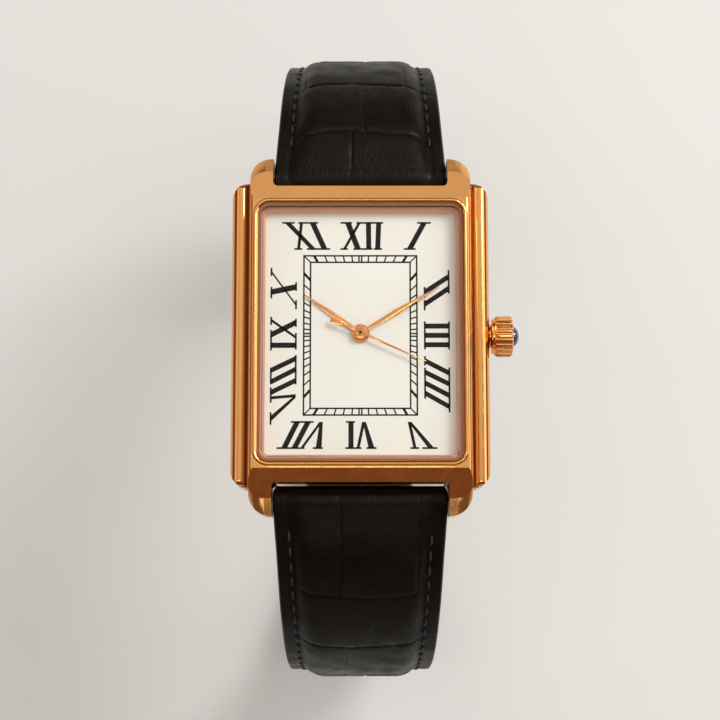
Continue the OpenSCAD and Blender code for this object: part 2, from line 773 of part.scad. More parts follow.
module cell_clip() {
    strip_w = 1.6;
    thin = 0.12;
    low = bridge_z - 0.3 - thin - slip;
    color(steel) translate([cell_p[0] - strip_w / 2, cell_p[1] - cell_r - 1.2, low]) {
        cube([strip_w, cell_r + 1.6, thin]);
        cube([strip_w, 0.8, bridge_z - 0.2 - low - slip]);
    }
}

module rotor() {
    magnet_r = 0.6;
    color([0.35, 0.35, 0.38]) translate([rotor_p[0], rotor_p[1], 0]) {
        arbor(arbor_r, bridge_z + 0.1, plate_z + 0.25, 0.4);
        translate([0, 0, second_z]) cylinder(r = magnet_r, h = 0.45);
        pinion(rotor_pinion_n, train_m, third_z - 0.03, wheel_t + 0.1, pivot_r,
            mesh_turn(0, fifth_wheel_n, rotor_pinion_n, rotor_a));
    }
}

module fifth_wheel() {
    color(brass) translate([fifth_p[0], fifth_p[1], 0]) {
        arbor(arbor_r, bridge_z + 0.1, plate_z + 0.25, 0.4);
        wheel(fifth_wheel_n, train_m, third_z, wheel_t, arbor_r, pivot_r, 4);
        pinion(fifth_pinion_n, train_m, second_z - 0.05, wheel_t + 0.1, pivot_r,
            mesh_turn(0, second_wheel_n, fifth_pinion_n, fifth_a));
    }
}

module second_wheel() {
    color(brass) {
        translate([0, 0, bridge_top + 0.05])
            cylinder(r = second_arbor_r, h = second_hand_z + hand_t - bridge_top - 0.05);
        translate([0, 0, bridge_z + 0.1]) cylinder(r = pivot_r, h = 1);
        wheel(second_wheel_n, train_m, second_z, wheel_t, arbor_r, pivot_r, 4);
        pinion(second_pinion_n, train_m, third_z - 0.03, wheel_t + 0.15, pivot_r,
            mesh_turn(0, third_wheel_n, second_pinion_n, third_a + 180));
    }
}

module third_wheel() {
    color(brass) translate([third_p[0], third_p[1], 0]) {
        arbor(arbor_r, bridge_z + 0.1, plate_z + 0.25, 0.4);
        wheel(third_wheel_n, train_m, third_z, wheel_t, arbor_r, pivot_r, 4);
        pinion(third_pinion_n, centre_m, centre_z - 0.05, wheel_t + 0.08, pivot_r,
            mesh_turn(0, centre_wheel_n, third_pinion_n, third_a));
    }
}

module centre_wheel() {
    color(brass) difference() {
        union() {
            wheel(centre_wheel_n, centre_m, centre_z, wheel_t, cannon_out, cannon_in, 4);
            translate([0, 0, centre_z]) cylinder(r = cannon_out, h = minute_hand_z + hand_t - centre_z);
            pinion(cannon_n, train_m, motion_z, wheel_t + 0.03, cannon_in);
        }
        cylinder(r = cannon_in, h = case_top + 1);
    }
}

module minute_wheel() {
    color(brass) translate([motion_p[0], motion_p[1], 0]) {
        pinion(minute_wheel_n, train_m, motion_z, wheel_t, 0.25,
            mesh_turn(0, cannon_n, minute_wheel_n, motion_a));
        pinion(minute_pinion_n, hour_m, motion_z + wheel_t - eps, hour_z - motion_z + 0.05, 0.25,
            mesh_turn(0, hour_wheel_n, minute_pinion_n, motion_a));
    }
}

module hour_wheel() {
    color(brass) difference() {
        union() {
            pinion(hour_wheel_n, hour_m, hour_z, wheel_t, hour_in);
            translate([0, 0, hour_z]) cylinder(r = hour_out, h = hour_hand_z + hand_t - hour_z);
        }
        cylinder(r = hour_in, h = case_top);
    }
}

module setting_wheel() {
    minute_turn = mesh_turn(0, cannon_n, minute_wheel_n, motion_a);
    color(steel) translate([setting_p[0], setting_p[1], 0])
        pinion(setting_wheel_n, train_m, motion_z, wheel_t, 0.25,
            mesh_turn(minute_turn, minute_wheel_n, setting_wheel_n, setting_a));
}

module setting_lever() {
    reach = norm([lever_reach, pull / 2]);
    lean = atan2(-pull / 2, lever_reach);
    color(steel) translate([lever_p[0], lever_p[1], stem_z - 0.12]) rotate([0, 0, lean])
        linear_extrude(0.17) difference() {
            union() {
                circle(0.55);
                translate([-finger_w / 2, -reach]) square([finger_w, reach]);
                translate([-0.2, 0]) square([0.4, 1.4]);
            }
            circle(0.25);
        }
}

module sliding_pinion() {
    hole = square_a + 2 * play;
    color(steel) translate([pinion_x[0], 0, stem_z]) rotate([0, 90, 0]) {
        linear_extrude(pinion_x[1] - pinion_x[0]) difference() {
            teeth(12, 0.11);
            square(hole, center = true);
        }
    }
}

module stem() {
    groove = finger_w / 2 + 0.1;
    inner_x = pinion_x[0] - 0.15;
    shoulder_x = pinion_x[1] + 0.05;
    color(steel) translate([0, 0, stem_z]) {
        translate([inner_x, -square_a / 2, -square_a / 2])
            cube([shoulder_x - inner_x + eps, square_a, square_a]);
        x_cylinder(square_a / 2, shoulder_x, groove_x - groove);
        x_cylinder(groove_r, groove_x - groove - eps, groove_x + groove + eps);
        x_cylinder(stem_r, groove_x + groove, crown_x + skirt_depth + 0.4);
    }
}

module crown_tube() {
    collar_r = 1.25;
    color(gold) translate([0, 0, stem_z]) difference() {
        union() {
            x_cylinder(tube_r, cavity_w / 2 - 0.1, tube_end);
            x_cylinder(collar_r, rail_span / 2 + slip, crown_x - 0.05);
        }
        x_cylinder(tube_in, 0, rail_span);
    }
}

module crown() {
    flute_r = 0.17;
    face = crown_x + crown_l;
    color(gold) translate([0, 0, stem_z]) rotate([0, 90, 0]) difference() {
        translate([0, 0, crown_x]) rotate_extrude()
            polygon([[0, 0], [crown_r - 0.4, 0], [crown_r - 0.28, 0.12], [crown_r - 0.28, 0.3],
                [crown_r - 0.1, 0.42], [crown_r, 0.6], [crown_r, crown_l - 0.35],
                [crown_r - 0.12, crown_l - 0.15], [crown_r - 0.45, crown_l - 0.03], [stone_r + 0.2, crown_l],
                [0, crown_l]]);
        for (k = [0 : flutes - 1]) rotate([0, 0, 360 / flutes * k]) translate([crown_r + 0.03, 0, 0])
            cylinder(r = flute_r, h = face + 1);
        translate([0, 0, crown_x - eps]) cylinder(r = skirt_bore, h = skirt_depth + eps);
        translate([0, 0, crown_x]) cylinder(r = stem_r, h = skirt_depth + 0.4);
        translate([0, 0, face - 0.25]) cylinder(r = stone_r, h = 1);
    }
}

module crown_seal() {
    color([0.15, 0.15, 0.15]) translate([0, 0, stem_z]) difference() {
        x_cylinder(skirt_bore, crown_x + 0.05, crown_x + 0.4);
        x_cylinder(tube_r + play, crown_x, crown_x + 1);
    }
}

module crown_stone() {
    face = crown_x + crown_l;
    color([0.1, 0.13, 0.4]) translate([face, 0, stem_z]) rotate([0, 90, 0]) rotate_extrude()
        polygon(concat([[0, -0.25], [stone_r, -0.25]],
            [for (a = [0 : 10 : 90]) [stone_r * cos(a), stone_h * sin(a)]]));
}

spigot_w = cavity_w - 1.1;
spigot_l = cavity_l - 1.1;

module case_back() {
    color(gold) difference() {
        union() {
            plate(back_w, back_l, back_corner_r, 0, back_t);
            plate(spigot_w, spigot_l, cavity_r, back_t - eps, 0.5);
        }
        plate(spigot_w - 1.2, spigot_l - 1.2, cavity_r - 0.5, back_t, 1);
        for (x = [-1, 1], y = [-1, 1]) translate([x * screw_x, y * screw_y, 0]) {
            translate([0, 0, -eps]) cylinder(r = screw_r + slip, h = 0.4);
            cylinder(r = screw_shank_r + slip, h = back_t + 1);
        }
    }
}

module back_seal() {
    seal = (cavity_w - spigot_w) / 2 - slip;
    color([0.15, 0.15, 0.15]) ring_sweep(spigot_w + 2 * slip, spigot_l + 2 * slip, cavity_r)
        polygon([[0, back_t], [seal - slip, back_t], [seal - slip, back_t + 0.4], [0, back_t + 0.4]]);
}

module back_screws() {
    color(gold) for (x = [-1, 1], y = [-1, 1]) translate([x * screw_x, y * screw_y, 0]) difference() {
        union() {
            translate([0, 0, 0.03]) cylinder(r = screw_r, h = 0.35);
            translate([0, 0, 0.3]) cylinder(r = screw_shank_r, h = back_t + screw_depth - 0.3);
        }
        translate([-screw_r, -0.12, 0]) cube([2 * screw_r, 0.24, 0.18]);
    }
}

module spring_bar(s) {
    color(steel) translate([0, s * bar_y, bar_z]) {
        x_cylinder(bar_r, 0.1 - lug_gap / 2, lug_gap / 2 - 0.1);
        x_cylinder(bar_tip_r, -lug_gap / 2 - bar_tip_l, lug_gap / 2 + bar_tip_l);
    }
}

module spring_bar_12() spring_bar(1);
module spring_bar_6() spring_bar(-1);

// Puts a piece drawn in strap directions at distance s along a route: y runs on, z points out
module on_strap(route, s) {
    p = at(route, s);
    translate([0, p[0], p[1]]) rotate([-p[2], 0, 0]) children();
}

station = 1.6;
function stations(a, b) = let (n = ceil((b - a) / station)) [for (k = [0 : n]) a + (b - a) * k / n];

module leather_body(route, a, b, full, tip) {
    color(hide) skin([for (s = stations(a, b)) leather_ring(route, s, full, tip)]);
}

// Straight run of leather from a to b with the section that the strap has at s
module leather_block(route, s, a, b, full) {
    on_strap(route, s) translate([0, b - s, 0]) rotate([90, 0, 0]) linear_extrude(b - a)
        polygon(leather_section(s, full, 0));
}

module roll(route, s, r, w) {
    on_strap(route, s) x_cylinder(r, -w / 2, w / 2);
}

// Leather turned round a spring bar
module bar_loop(route, full) {
    color(hide) difference() {
        union() {
            leather_block(route, loop_l, 0.7, loop_l, full);
            roll(route, 0, roll_r, strap_w);
        }
        roll(route, 0, bar_hole_r, strap_w + 1);
    }
}

module strap_12_loop() bar_loop(buckle_route, buckle_len);

module strap_12_leather() leather_body(buckle_route, loop_l, buckle_len - end_l, buckle_len, 0);

module strap_12_end() {
    color(hide) difference() {
        union() {
            leather_block(buckle_route, buckle_len - end_l, buckle_len - end_l, buckle_len - 0.4, buckle_len);
            roll(buckle_route, buckle_len, end_roll_r, strap_end_w);
        }
        roll(buckle_route, buckle_len, buckle_bar_r, strap_w + 1);
        on_strap(buckle_route, buckle_len) translate([-tongue_slot / 2, -slot_l, -3])
            cube([tongue_slot, slot_l + 3, 6]);
    }
}

module strap_12_lining() {
    color([0.16, 0.1, 0.07])
        skin([for (s = stations(roll_r + 0.4, buckle_len - slot_l - 0.3))
            lining_ring(buckle_route, s, buckle_len, 0)]);
}

module tail_holes() {
    for (k = [0 : strap_holes - 1]) on_strap(tail_route, tail_len - tip_r - (k + 2) * hole_pitch)
        cylinder(r = hole_r, h = 8, center = true);
}

module strap_6_loop() mirror([0, 1, 0]) bar_loop(tail_route, tail_len);

module strap_6_leather() {
    color(hide) mirror([0, 1, 0]) difference() {
        leather_body(tail_route, loop_l, tail_len, tail_len, tip_r);
        tail_holes();
    }
}

module strap_6_lining() {
    color([0.16, 0.1, 0.07]) mirror([0, 1, 0]) difference() {
        skin([for (s = stations(roll_r + 0.4, tail_len - 0.3)) lining_ring(tail_route, s, tail_len, tip_r)]);
        tail_holes();
    }
}

// Loop round the strap end with room for the tail beside it
module keeper(s, gap) {
    in_w = strap_end_w + 2 * keeper_gap;
    low = -strap_end_t / 2 - gap;
    high = strap_end_t * 1.5 + 3 * keeper_gap;
    on_strap(buckle_route, s) translate([0, 0, (low + high) / 2]) front_prism(keeper_l) difference() {
        rounded_rect(in_w + 2 * keeper_t, high - low + 2 * keeper_t, 0.9);
        square([in_w, high - low], center = true);
    }
}

module fixed_keeper() {
    color(hide) keeper(fixed_keeper_s, 0);
}

module free_keeper() {
    color(hide) keeper(free_keeper_s, keeper_gap);
}

// Puts a piece drawn in the buckle's directions where the buckle hangs: y down, z outwards
module at_buckle() {
    p = at(buckle_route, buckle_len);
    translate([0, p[0], p[1]]) rotate([-90, 0, 0]) children();
}

module buckle_bar() {
    color(steel) at_buckle() x_cylinder(buckle_bar_r, 0.1 - buckle_w / 2, buckle_w / 2 - 0.1);
}

module buckle_frame() {
    front = 1.5;
    eye_r = 1.25;
    color(gold) at_buckle() difference() {
        intersection() {
            translate([0, 0, -buckle_t / 2]) linear_extrude(buckle_t) difference() {
                translate([0, (buckle_l - eye_r) / 2]) rounded_rect(buckle_w, buckle_l + eye_r, 1.2);
                translate([-arm_gap / 2, -eye_r - 1]) square([arm_gap, buckle_l + eye_r + 1 - front]);
            }
            side_prism(buckle_w + 1) {
                translate([0, -buckle_t / 2]) square([buckle_l - buckle_t / 2, buckle_t]);
                circle(eye_r);
                translate([buckle_l - buckle_t / 2, 0]) circle(buckle_t / 2);
            }
        }
        x_cylinder(buckle_hole_r, -buckle_w, buckle_w);
    }
}

module buckle_tongue() {
    rest = buckle_t / 2 + 0.05;
    color(gold) at_buckle() difference() {
        union() {
            x_cylinder(tongue_ring_r, -tongue_w / 2, tongue_w / 2);
            side_prism(tongue_w) polygon([[0.3, buckle_hole_r + 0.2], [0.3, tongue_ring_r - 0.1],
                [2, rest + 0.6], [buckle_l, rest + 0.6], [buckle_l + 0.5, rest + 0.25],
                [buckle_l + 0.3, rest], [2.6, rest], [1.05, 0.3], [buckle_hole_r + 0.15, 0.3]]);
        }
        x_cylinder(buckle_hole_r, -tongue_w, tongue_w);
    }
}

case_middle();
bezel();
crystal();
crystal_seal();
dial_flange();
dial();
hour_hand();
minute_hand();
second_hand();
movement_holder();
main_plate();
train_bridge();
bridge_screws();
circuit_board();
quartz_can();
coil();
stator();
button_cell();
cell_clip();
rotor();
fifth_wheel();
second_wheel();
third_wheel();
centre_wheel();
minute_wheel();
hour_wheel();
setting_wheel();
setting_lever();
sliding_pinion();
stem();
crown_tube();
crown();
crown_seal();
crown_stone();
case_back();
back_seal();
back_screws();
spring_bar_12();
spring_bar_6();
strap_12_loop();
strap_12_leather();
strap_12_end();
strap_12_lining();
strap_6_loop();
strap_6_leather();
strap_6_lining();
fixed_keeper();
free_keeper();
buckle_bar();
buckle_frame();
buckle_tongue();
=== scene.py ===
"""Looks of a rectangular wristwatch on an open leather strap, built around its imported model."""

import json
import math
from random import Random

import bpy
import numpy as np
from bpy.props import FloatProperty, FloatVectorProperty, PointerProperty
from mathutils import Matrix, Quaternion, Vector

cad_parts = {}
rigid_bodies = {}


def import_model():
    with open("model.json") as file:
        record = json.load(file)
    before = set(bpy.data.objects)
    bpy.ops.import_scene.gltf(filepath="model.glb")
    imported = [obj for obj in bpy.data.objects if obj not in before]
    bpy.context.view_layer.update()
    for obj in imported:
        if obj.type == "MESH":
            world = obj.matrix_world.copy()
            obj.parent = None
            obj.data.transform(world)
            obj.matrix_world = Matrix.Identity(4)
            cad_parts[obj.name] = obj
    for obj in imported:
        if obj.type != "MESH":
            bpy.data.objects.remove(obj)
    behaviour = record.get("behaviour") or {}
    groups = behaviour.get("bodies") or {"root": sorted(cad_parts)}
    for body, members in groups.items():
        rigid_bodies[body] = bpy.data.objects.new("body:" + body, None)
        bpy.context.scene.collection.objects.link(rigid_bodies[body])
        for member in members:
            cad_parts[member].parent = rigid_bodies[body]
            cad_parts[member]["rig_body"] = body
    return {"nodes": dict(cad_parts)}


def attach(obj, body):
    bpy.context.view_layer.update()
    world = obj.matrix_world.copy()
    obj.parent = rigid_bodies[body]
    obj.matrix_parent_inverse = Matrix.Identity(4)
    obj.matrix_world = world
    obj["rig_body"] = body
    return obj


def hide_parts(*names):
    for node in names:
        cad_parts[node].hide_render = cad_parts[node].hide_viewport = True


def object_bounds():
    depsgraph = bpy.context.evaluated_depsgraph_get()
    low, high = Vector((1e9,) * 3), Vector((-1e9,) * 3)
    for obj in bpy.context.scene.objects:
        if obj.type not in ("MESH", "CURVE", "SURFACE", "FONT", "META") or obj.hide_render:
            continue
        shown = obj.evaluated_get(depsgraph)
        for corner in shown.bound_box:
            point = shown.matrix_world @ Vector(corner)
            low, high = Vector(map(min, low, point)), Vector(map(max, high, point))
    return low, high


bl_info = {
    "name": "Rectangular wristwatch",
    "version": (1, 0, 0),
    "blender": (4, 5, 0),
    "location": "3D View > Sidebar > Watch",
    "description": "Builds the looks of a rectangular wristwatch with a leather strap",
    "category": "Object",
}

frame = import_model()
CAD_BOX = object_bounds()
NODES = frame["nodes"]
MM = 0.001

# Sizes that the strap shares with the construction, in millimetres: spring bar, first run, rolled ends,
BAR_Y, BAR_Z, START_TILT, START_L = 17.1, 2.0, math.radians(18), 2.5
ROLL_R, ROLL_FULL, END_ROLL_R = 1.55, 1.72, 1.3
# bends as (radius, turn), straight runs and the tip,
SHOULDER, LEG, HEEL = (19.5, math.radians(72)), (26, math.radians(30)), (24, math.radians(90))
LEG_RUN, DROP, TAIL_RUN, TIP_R = 20, 20, 20, 8.0
# widths and thicknesses,
STRAP_W, STRAP_END_W, TAPER_L = 17.7, 14.0, 42.0
END_T, LINING_T, PAD_H = 2.3, 0.8, 0.95
# keepers, the tongue's slot and its holes
KEEPER_L, KEEPER_T, KEEPER_GAP, KEEPER_ROUND, KEEPER_BACK, KEEPERS_APART = 4.6, 0.9, 0.3, 0.7, 3.8, 2.4
TONGUE_SLOT, SLOT_L, SLOT_PAST = 2.4, 2.4, 3
HOLES, HOLE_PITCH, HOLE_R, LAST_HOLE = 7, 6.0, 0.8, 20.0

# Dressing of the leather, in millimetres
MARGIN, STITCH_INSET, EDGE_ROUND, TIP_CLOSE = 1.7, 1.45, 0.3, 0.35
STITCH_SIZE, STITCH_LIFT, FIRST_STITCH = (0.19, 0.62, 0.15), 0.05, 3.0

# Dial, in millimetres, and the hub's pieces as (radius, thickness or flatness, height)
DIAL_TOP, PRINT_SUNK = 4.75, 0.004
CAP, CAP_RING, PIN = (0.64, 0.08, 5.65), (0.36, 0.05, 5.685), (0.17, 0.4, 5.7)

# Painted shade in the valley beside a rail: where it fades in and out, in metres from the middle, and
# the darker gold that is painted there as shade
VALLEY_IN, VALLEY_OUT, VALLEY_SHADE_GOLD = (0.01136, 0.01142), (0.0119, 0.0121), (0.42, 0.25, 0.12)

# Stage, in metres and watts
FLOOR_R, FLOOR_GAP = 3.0, 0.0002
LAMPS = (
    ("key light", (0.27, 0.21, 0.4), (0.2, 0.18), 1.3),
    ("right light", (0.41, 0.06, 0.3), (0.34, 0.26), 0.42),
    ("left light", (-0.35, 0.12, 0.35), (0.3, 0.25), 0.14),
    ("top light", (0.0, -0.06, 0.55), (0.5, 0.035), 0.26),
    ("front light", (0.05, -0.5, 0.16), (0.4, 0.05), 0.08),
)
# Surroundings: what metal mirrors, from the horizon to a ceiling that leans to 12 o'clock, and the rest
CEILING = (0.0, 0.42, 0.91)
MIRRORED = (
    (0.0, (0.16, 0.11, 0.08)),
    (0.3, (0.18, 0.08, 0.045)),
    (0.66, (0.17, 0.085, 0.05)),
    (0.86, (0.5, 0.44, 0.38)),
    (0.95, (0.72, 0.7, 0.67)),
    (1.0, (0.8, 0.79, 0.77)),
)
PALE = (0.5, 0.485, 0.465)
# Camera: the watch point in millimetres, and the angles in degrees
WATCH_POINT, VIEW_SIDE, VIEW_HEIGHT, VIEW_ROLL, LENS = (-0.04, -2.765, 5.0), -0.81, 81.28, 0.79, 20.82


# ---- shader helpers


class Shade:
    """A socket that plain Python sums work on."""

    def __init__(self, nodes, socket):
        self.nodes, self.socket = nodes, socket

    def math(self, operation, *values):
        return self.nodes.node("ShaderNodeMath", {"operation": operation}, values)

    def __add__(self, other):
        return self.math("ADD", self, other)

    def __sub__(self, other):
        return self.math("SUBTRACT", self, other)

    def __rsub__(self, other):
        return self.math("SUBTRACT", other, self)

    def __mul__(self, other):
        return self.math("MULTIPLY", self, other)

    def __abs__(self):
        return self.math("ABSOLUTE", self)

    __radd__ = __add__
    __rmul__ = __mul__

    def ramp(self, low, high, start=0.0, end=1.0):
        """Eases from start to end while the value goes from low to high."""
        return self.nodes.node(
            "ShaderNodeMapRange", {"interpolation_type": "SMOOTHSTEP"}, [self, low, high, start, end]
        )


class Nodes:
    """A tree of shader nodes."""

    def __init__(self, tree):
        self.tree = tree

    def feed(self, socket, value):
        """Gives a socket a fixed value or a link."""
        if isinstance(value, Shade):
            self.tree.links.new(value.socket, socket)
        else:
            socket.default_value = value

    def node(self, kind, settings=None, values=(), output=0):
        """Adds a node, sets its settings or stops first and then its sockets, and gives an output."""
        made = self.tree.nodes.new(kind)
        settings = dict(settings or {})
        for position, color in settings.pop("stops", ()):
            stops = made.color_ramp.elements
            stop = {0.0: stops[0], 1.0: stops[-1]}.get(position) or stops.new(position)
            stop.color = (*color, 1.0)
        for key, value in settings.items():
            setattr(made, key, value)
        pairs = values.items() if isinstance(values, dict) else enumerate(values)
        for key, value in pairs:
            self.feed(made.inputs[key], value)
        return Shade(self, made.outputs[output])

    def mixed(self, share, low, high):
        """Colour that goes from low to high as share goes from 0 to 1."""
        made = self.tree.nodes.new("ShaderNodeMix")
        made.data_type = "RGBA"
        colors = [socket for socket in made.inputs if socket.type == "RGBA"]
        self.feed(made.inputs[0], share)
        self.feed(colors[0], low if isinstance(low, Shade) else (*low, 1.0))
        self.feed(colors[1], high if isinstance(high, Shade) else (*high, 1.0))
        return Shade(self, next(socket for socket in made.outputs if socket.type == "RGBA"))


class Finish(Nodes):
    """A material whose Principled shader starts with the given fixed values."""

    def __init__(self, name, color, metallic=0.0, roughness=0.5, ior=1.5, coat_roughness=0.03):
        self.material = bpy.data.materials.new(name)
        self.material.use_nodes = True
        super().__init__(self.material.node_tree)
        self.shader = self.tree.nodes["Principled BSDF"]
        self.output = self.tree.nodes["Material Output"]
        self.set("Base Color", (*color, 1.0)).set("Metallic", metallic).set("Roughness", roughness)
        self.set("IOR", ior).set("Coat Roughness", coat_roughness)
        self.place = self.node("ShaderNodeTexCoord", output="Object")

    def set(self, label, value):
        self.feed(self.shader.inputs[label], value)
        return self

    def stretched(self, scale):
        return self.node("ShaderNodeMapping", None, {"Vector": self.place, "Scale": scale})

    def noise(self, scale, detail=3.0, vector=None):
        return self.node(
            "ShaderNodeTexNoise",
            {"noise_dimensions": "3D"},
            {"Vector": vector or self.place, "Scale": scale, "Detail": detail},
        )

    def cells(self, scale, vector=None):
        """Distance to the nearest edge between cells."""
        return self.node(
            "ShaderNodeTexVoronoi",
            {"feature": "DISTANCE_TO_EDGE"},
            {"Vector": vector or self.place, "Scale": scale},
            output="Distance",
        )

    def bump(self, height, distance, strength=1.0):
        sockets = {"Height": height, "Distance": distance, "Strength": strength}
        return self.set("Normal", self.node("ShaderNodeBump", None, sockets))


def toned(color, share):
    return [c * share for c in color]


def polished_metal(name, color, shine, painted_shade=None):
    """Polished metal with faint wear. The last argument, where given, is painted shade: the function
    that masks a part, and the darker colour painted there as shade.
    """
    finish = Finish(name, color, metallic=1.0)
    wear = finish.noise(900.0, 4.0)
    cloud = finish.noise(140.0, 2.0)
    base = finish.mixed(cloud.ramp(0.3, 0.7), toned(color, 0.96), color)
    if painted_shade:
        # Painted shade: the masked part takes the darker colour.
        mask, painted_shade_color = painted_shade
        base = finish.mixed(mask(finish), base, painted_shade_color)
    finish.set("Base Color", base)
    finish.set("Roughness", wear.ramp(0.35, 0.75, shine, shine + 0.07))
    return finish.bump(finish.noise(2600.0, 3.0), 0.000002)


def valley_shade_mask(finish):
    """Mask of the narrow valleys between the case body and its side rails, where the gold is painted
    darker as shade.
    """
    out = abs(finish.node("ShaderNodeSeparateXYZ", None, [finish.place]))
    return out.ramp(*VALLEY_IN) - out.ramp(*VALLEY_OUT)


def brushed_metal(name, color, shine, along=(1.0, 14.0, 14.0)):
    finish = Finish(name, color, metallic=1.0)
    hairs = finish.noise(900.0, 5.0, finish.stretched(along))
    finish.set("Base Color", finish.mixed(hairs, toned(color, 0.82), color))
    finish.set("Roughness", hairs.ramp(0.3, 0.7, shine, shine + 0.16))
    return finish.bump(hairs, 0.000006)


def leather(name, color, shine, grain=1.0):
    """Leather with pores and fine creases, smaller where grain is below 1."""
    finish = Finish(name, color, roughness=shine, coat_roughness=0.28, ior=1.4)
    finish.set("Specular IOR Level", 0.19).set("Specular Tint", (1.0, 0.88, 0.78, 1.0))
    pores = finish.cells(4000.0 / grain)
    creases = finish.cells(2600.0 / grain, vector=finish.stretched((1.0, 0.24, 0.3)))
    cloud = finish.noise(420.0, 4.0)
    worn = [min(1.0, c * 1.6 + 0.001) for c in color]
    finish.set("Base Color", finish.mixed(cloud.ramp(0.4, 0.8), color, worn))
    finish.set("Roughness", cloud.ramp(0.25, 0.75, shine - 0.08, shine + 0.1))
    finish.set("Coat Weight", cloud.ramp(0.3, 0.7, 0.07, 0.0))
    height = pores.ramp(0.0, 0.2) * 0.25 + creases.ramp(0.0, 0.12) * 0.6 + cloud * 0.3
    return finish.bump(height, 0.00003 * grain, 0.8)


def plastic(name, color, shine=0.45):
    finish = Finish(name, color, roughness=shine)
    cloud = finish.noise(700.0, 3.0)
    finish.set("Base Color", finish.mixed(cloud, toned(color, 0.9), color))
    finish.set("Roughness", cloud.ramp(0.3, 0.7, shine - 0.06, shine + 0.08))
    return finish.bump(finish.noise(3000.0, 2.0), 0.000004)


def dial_lacquer(color):
    finish = Finish("ivory dial lacquer", color, roughness=0.42, coat_roughness=0.12)
    grain = finish.noise(2200.0, 4.0)
    cloud = finish.noise(90.0, 2.0)
    finish.set("Base Color", finish.mixed(cloud.ramp(0.3, 0.7), toned(color, 0.965), color))
    finish.set("Roughness", grain.ramp(0.3, 0.7, 0.36, 0.5))
    finish.set("Coat Weight", grain.ramp(0.3, 0.7, 0.25, 0.35))
    return finish.bump(grain, 0.000004)


def clear_crystal():
    finish = Finish("clear crystal", (1.0, 1.0, 1.0), metallic=1.0, roughness=0.02)
    haze = finish.noise(600.0, 2.0)
    finish.set("Roughness", haze.ramp(0.3, 0.8, 0.01, 0.03))
    seen = finish.node("ShaderNodeBsdfTransparent", None, {"Color": (0.992, 0.994, 0.992, 1.0)})
    gloss = finish.node("ShaderNodeFresnel", None, {"IOR": 1.4}) * 0.2
    mirror = Shade(finish, finish.shader.outputs[0])
    blend = finish.node("ShaderNodeMixShader", None, [gloss, seen, mirror])
    finish.feed(finish.output.inputs["Surface"], blend)
    return finish


def cabochon(color):
    finish = Finish("dark blue cabochon", color, roughness=0.08, ior=1.76)
    cloud = finish.noise(1500.0, 3.0)
    finish.set("Base Color", finish.mixed(cloud.ramp(0.3, 0.8), color, toned(color, 2.2)))
    finish.set("Coat Weight", cloud.ramp(0.2, 0.8, 0.8, 1.0))
    return finish


def thread(color):
    finish = Finish("waxed thread", color, roughness=0.5)
    twist = finish.node(
        "ShaderNodeTexWave",
        {"wave_type": "BANDS", "bands_direction": "DIAGONAL"},
        {"Vector": finish.place, "Scale": 2400.0, "Distortion": 2.0},
    )
    finish.set("Base Color", finish.mixed(twist, toned(color, 0.55), color))
    finish.set("Roughness", twist.ramp(0.0, 1.0, 0.6, 0.42))
    return finish.bump(twist, 0.00003)


# ---- modelling helpers


def deselect():
    bpy.ops.object.select_all(action="DESELECT")


def alone(*objects):
    """Selects these objects only, the first of them active."""
    deselect()
    for obj in objects:
        obj.select_set(True)
    bpy.context.view_layer.objects.active = objects[0]
    return objects[0]


def fix_place(obj):
    """Puts an object's place, turn and size into its mesh."""
    alone(obj)
    bpy.ops.object.transform_apply(location=True, rotation=True, scale=True)
    return obj


def placed(name, data):
    obj = bpy.data.objects.new(name, data)
    bpy.context.scene.collection.objects.link(obj)
    return obj


def painted(obj, finish):
    """Gives an object one finish in place of its others."""
    obj.data.materials.clear()
    obj.data.materials.append(finish.material)


def finished(obj, name, body, finish, replaced=()):
    """Names a piece, gives it its finish and makes it ride on a body in place of CAD nodes."""
    obj.name = obj.data.name = name
    painted(obj, finish)
    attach(obj, body)
    if replaced:
        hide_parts(*replaced)
    return obj


def apply_modifier(obj, kind, **settings):
    alone(obj)
    modifier = obj.modifiers.new(kind.lower(), kind)
    for key, value in settings.items():
        setattr(modifier, key, value)
    bpy.ops.object.modifier_apply(modifier=modifier.name)
    return obj


def cleaned(obj, merge=2e-6, flat=None):
    """Merges doubles and, where flat is given, joins the triangles of each flat face."""
    alone(obj)
    bpy.ops.object.mode_set(mode="EDIT")
    bpy.ops.mesh.select_all(action="SELECT")
    bpy.ops.mesh.remove_doubles(threshold=merge)
    if flat is not None:
        bpy.ops.mesh.dissolve_limited(angle_limit=math.radians(flat))
    bpy.ops.object.mode_set(mode="OBJECT")
    return obj


def smoothed(obj, angle=35.0):
    alone(obj)
    bpy.ops.object.shade_smooth_by_angle(angle=math.radians(angle))
    return obj


def faced_out(obj):
    """Turns every face of a closed piece outwards."""
    alone(obj)
    bpy.ops.object.mode_set(mode="EDIT")
    bpy.ops.mesh.select_all(action="SELECT")
    bpy.ops.mesh.normals_make_consistent(inside=False)
    bpy.ops.object.mode_set(mode="OBJECT")
    return obj


def dressed(node, name, finish, edge, segments=3, angle=30.0, crease=35.0):
    """Piece with the shape of a CAD node, its edges rounded as a maker breaks them, by edge millimetres.

    Edges sharper than angle are rounded, and edges sharper than crease stay sharp in the shading.
    """
    source = NODES[node]
    obj = placed(name, source.data.copy())
    cleaned(obj, flat=0.5)
    apply_modifier(
        obj,
        "BEVEL",
        width=edge * MM,
        segments=segments,
        limit_method="ANGLE",
        angle_limit=math.radians(angle),
        miter_outer="MITER_ARC",
    )
    smoothed(cleaned(obj, merge=1e-7), crease)
    apply_modifier(obj, "WEIGHTED_NORMAL", keep_sharp=True)
    return finished(obj, name, source["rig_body"], finish, [node])


def repaint(finish, *nodes):
    """Gives CAD nodes that keep their own shape a finish."""
    for node in nodes:
        painted(NODES[node], finish)


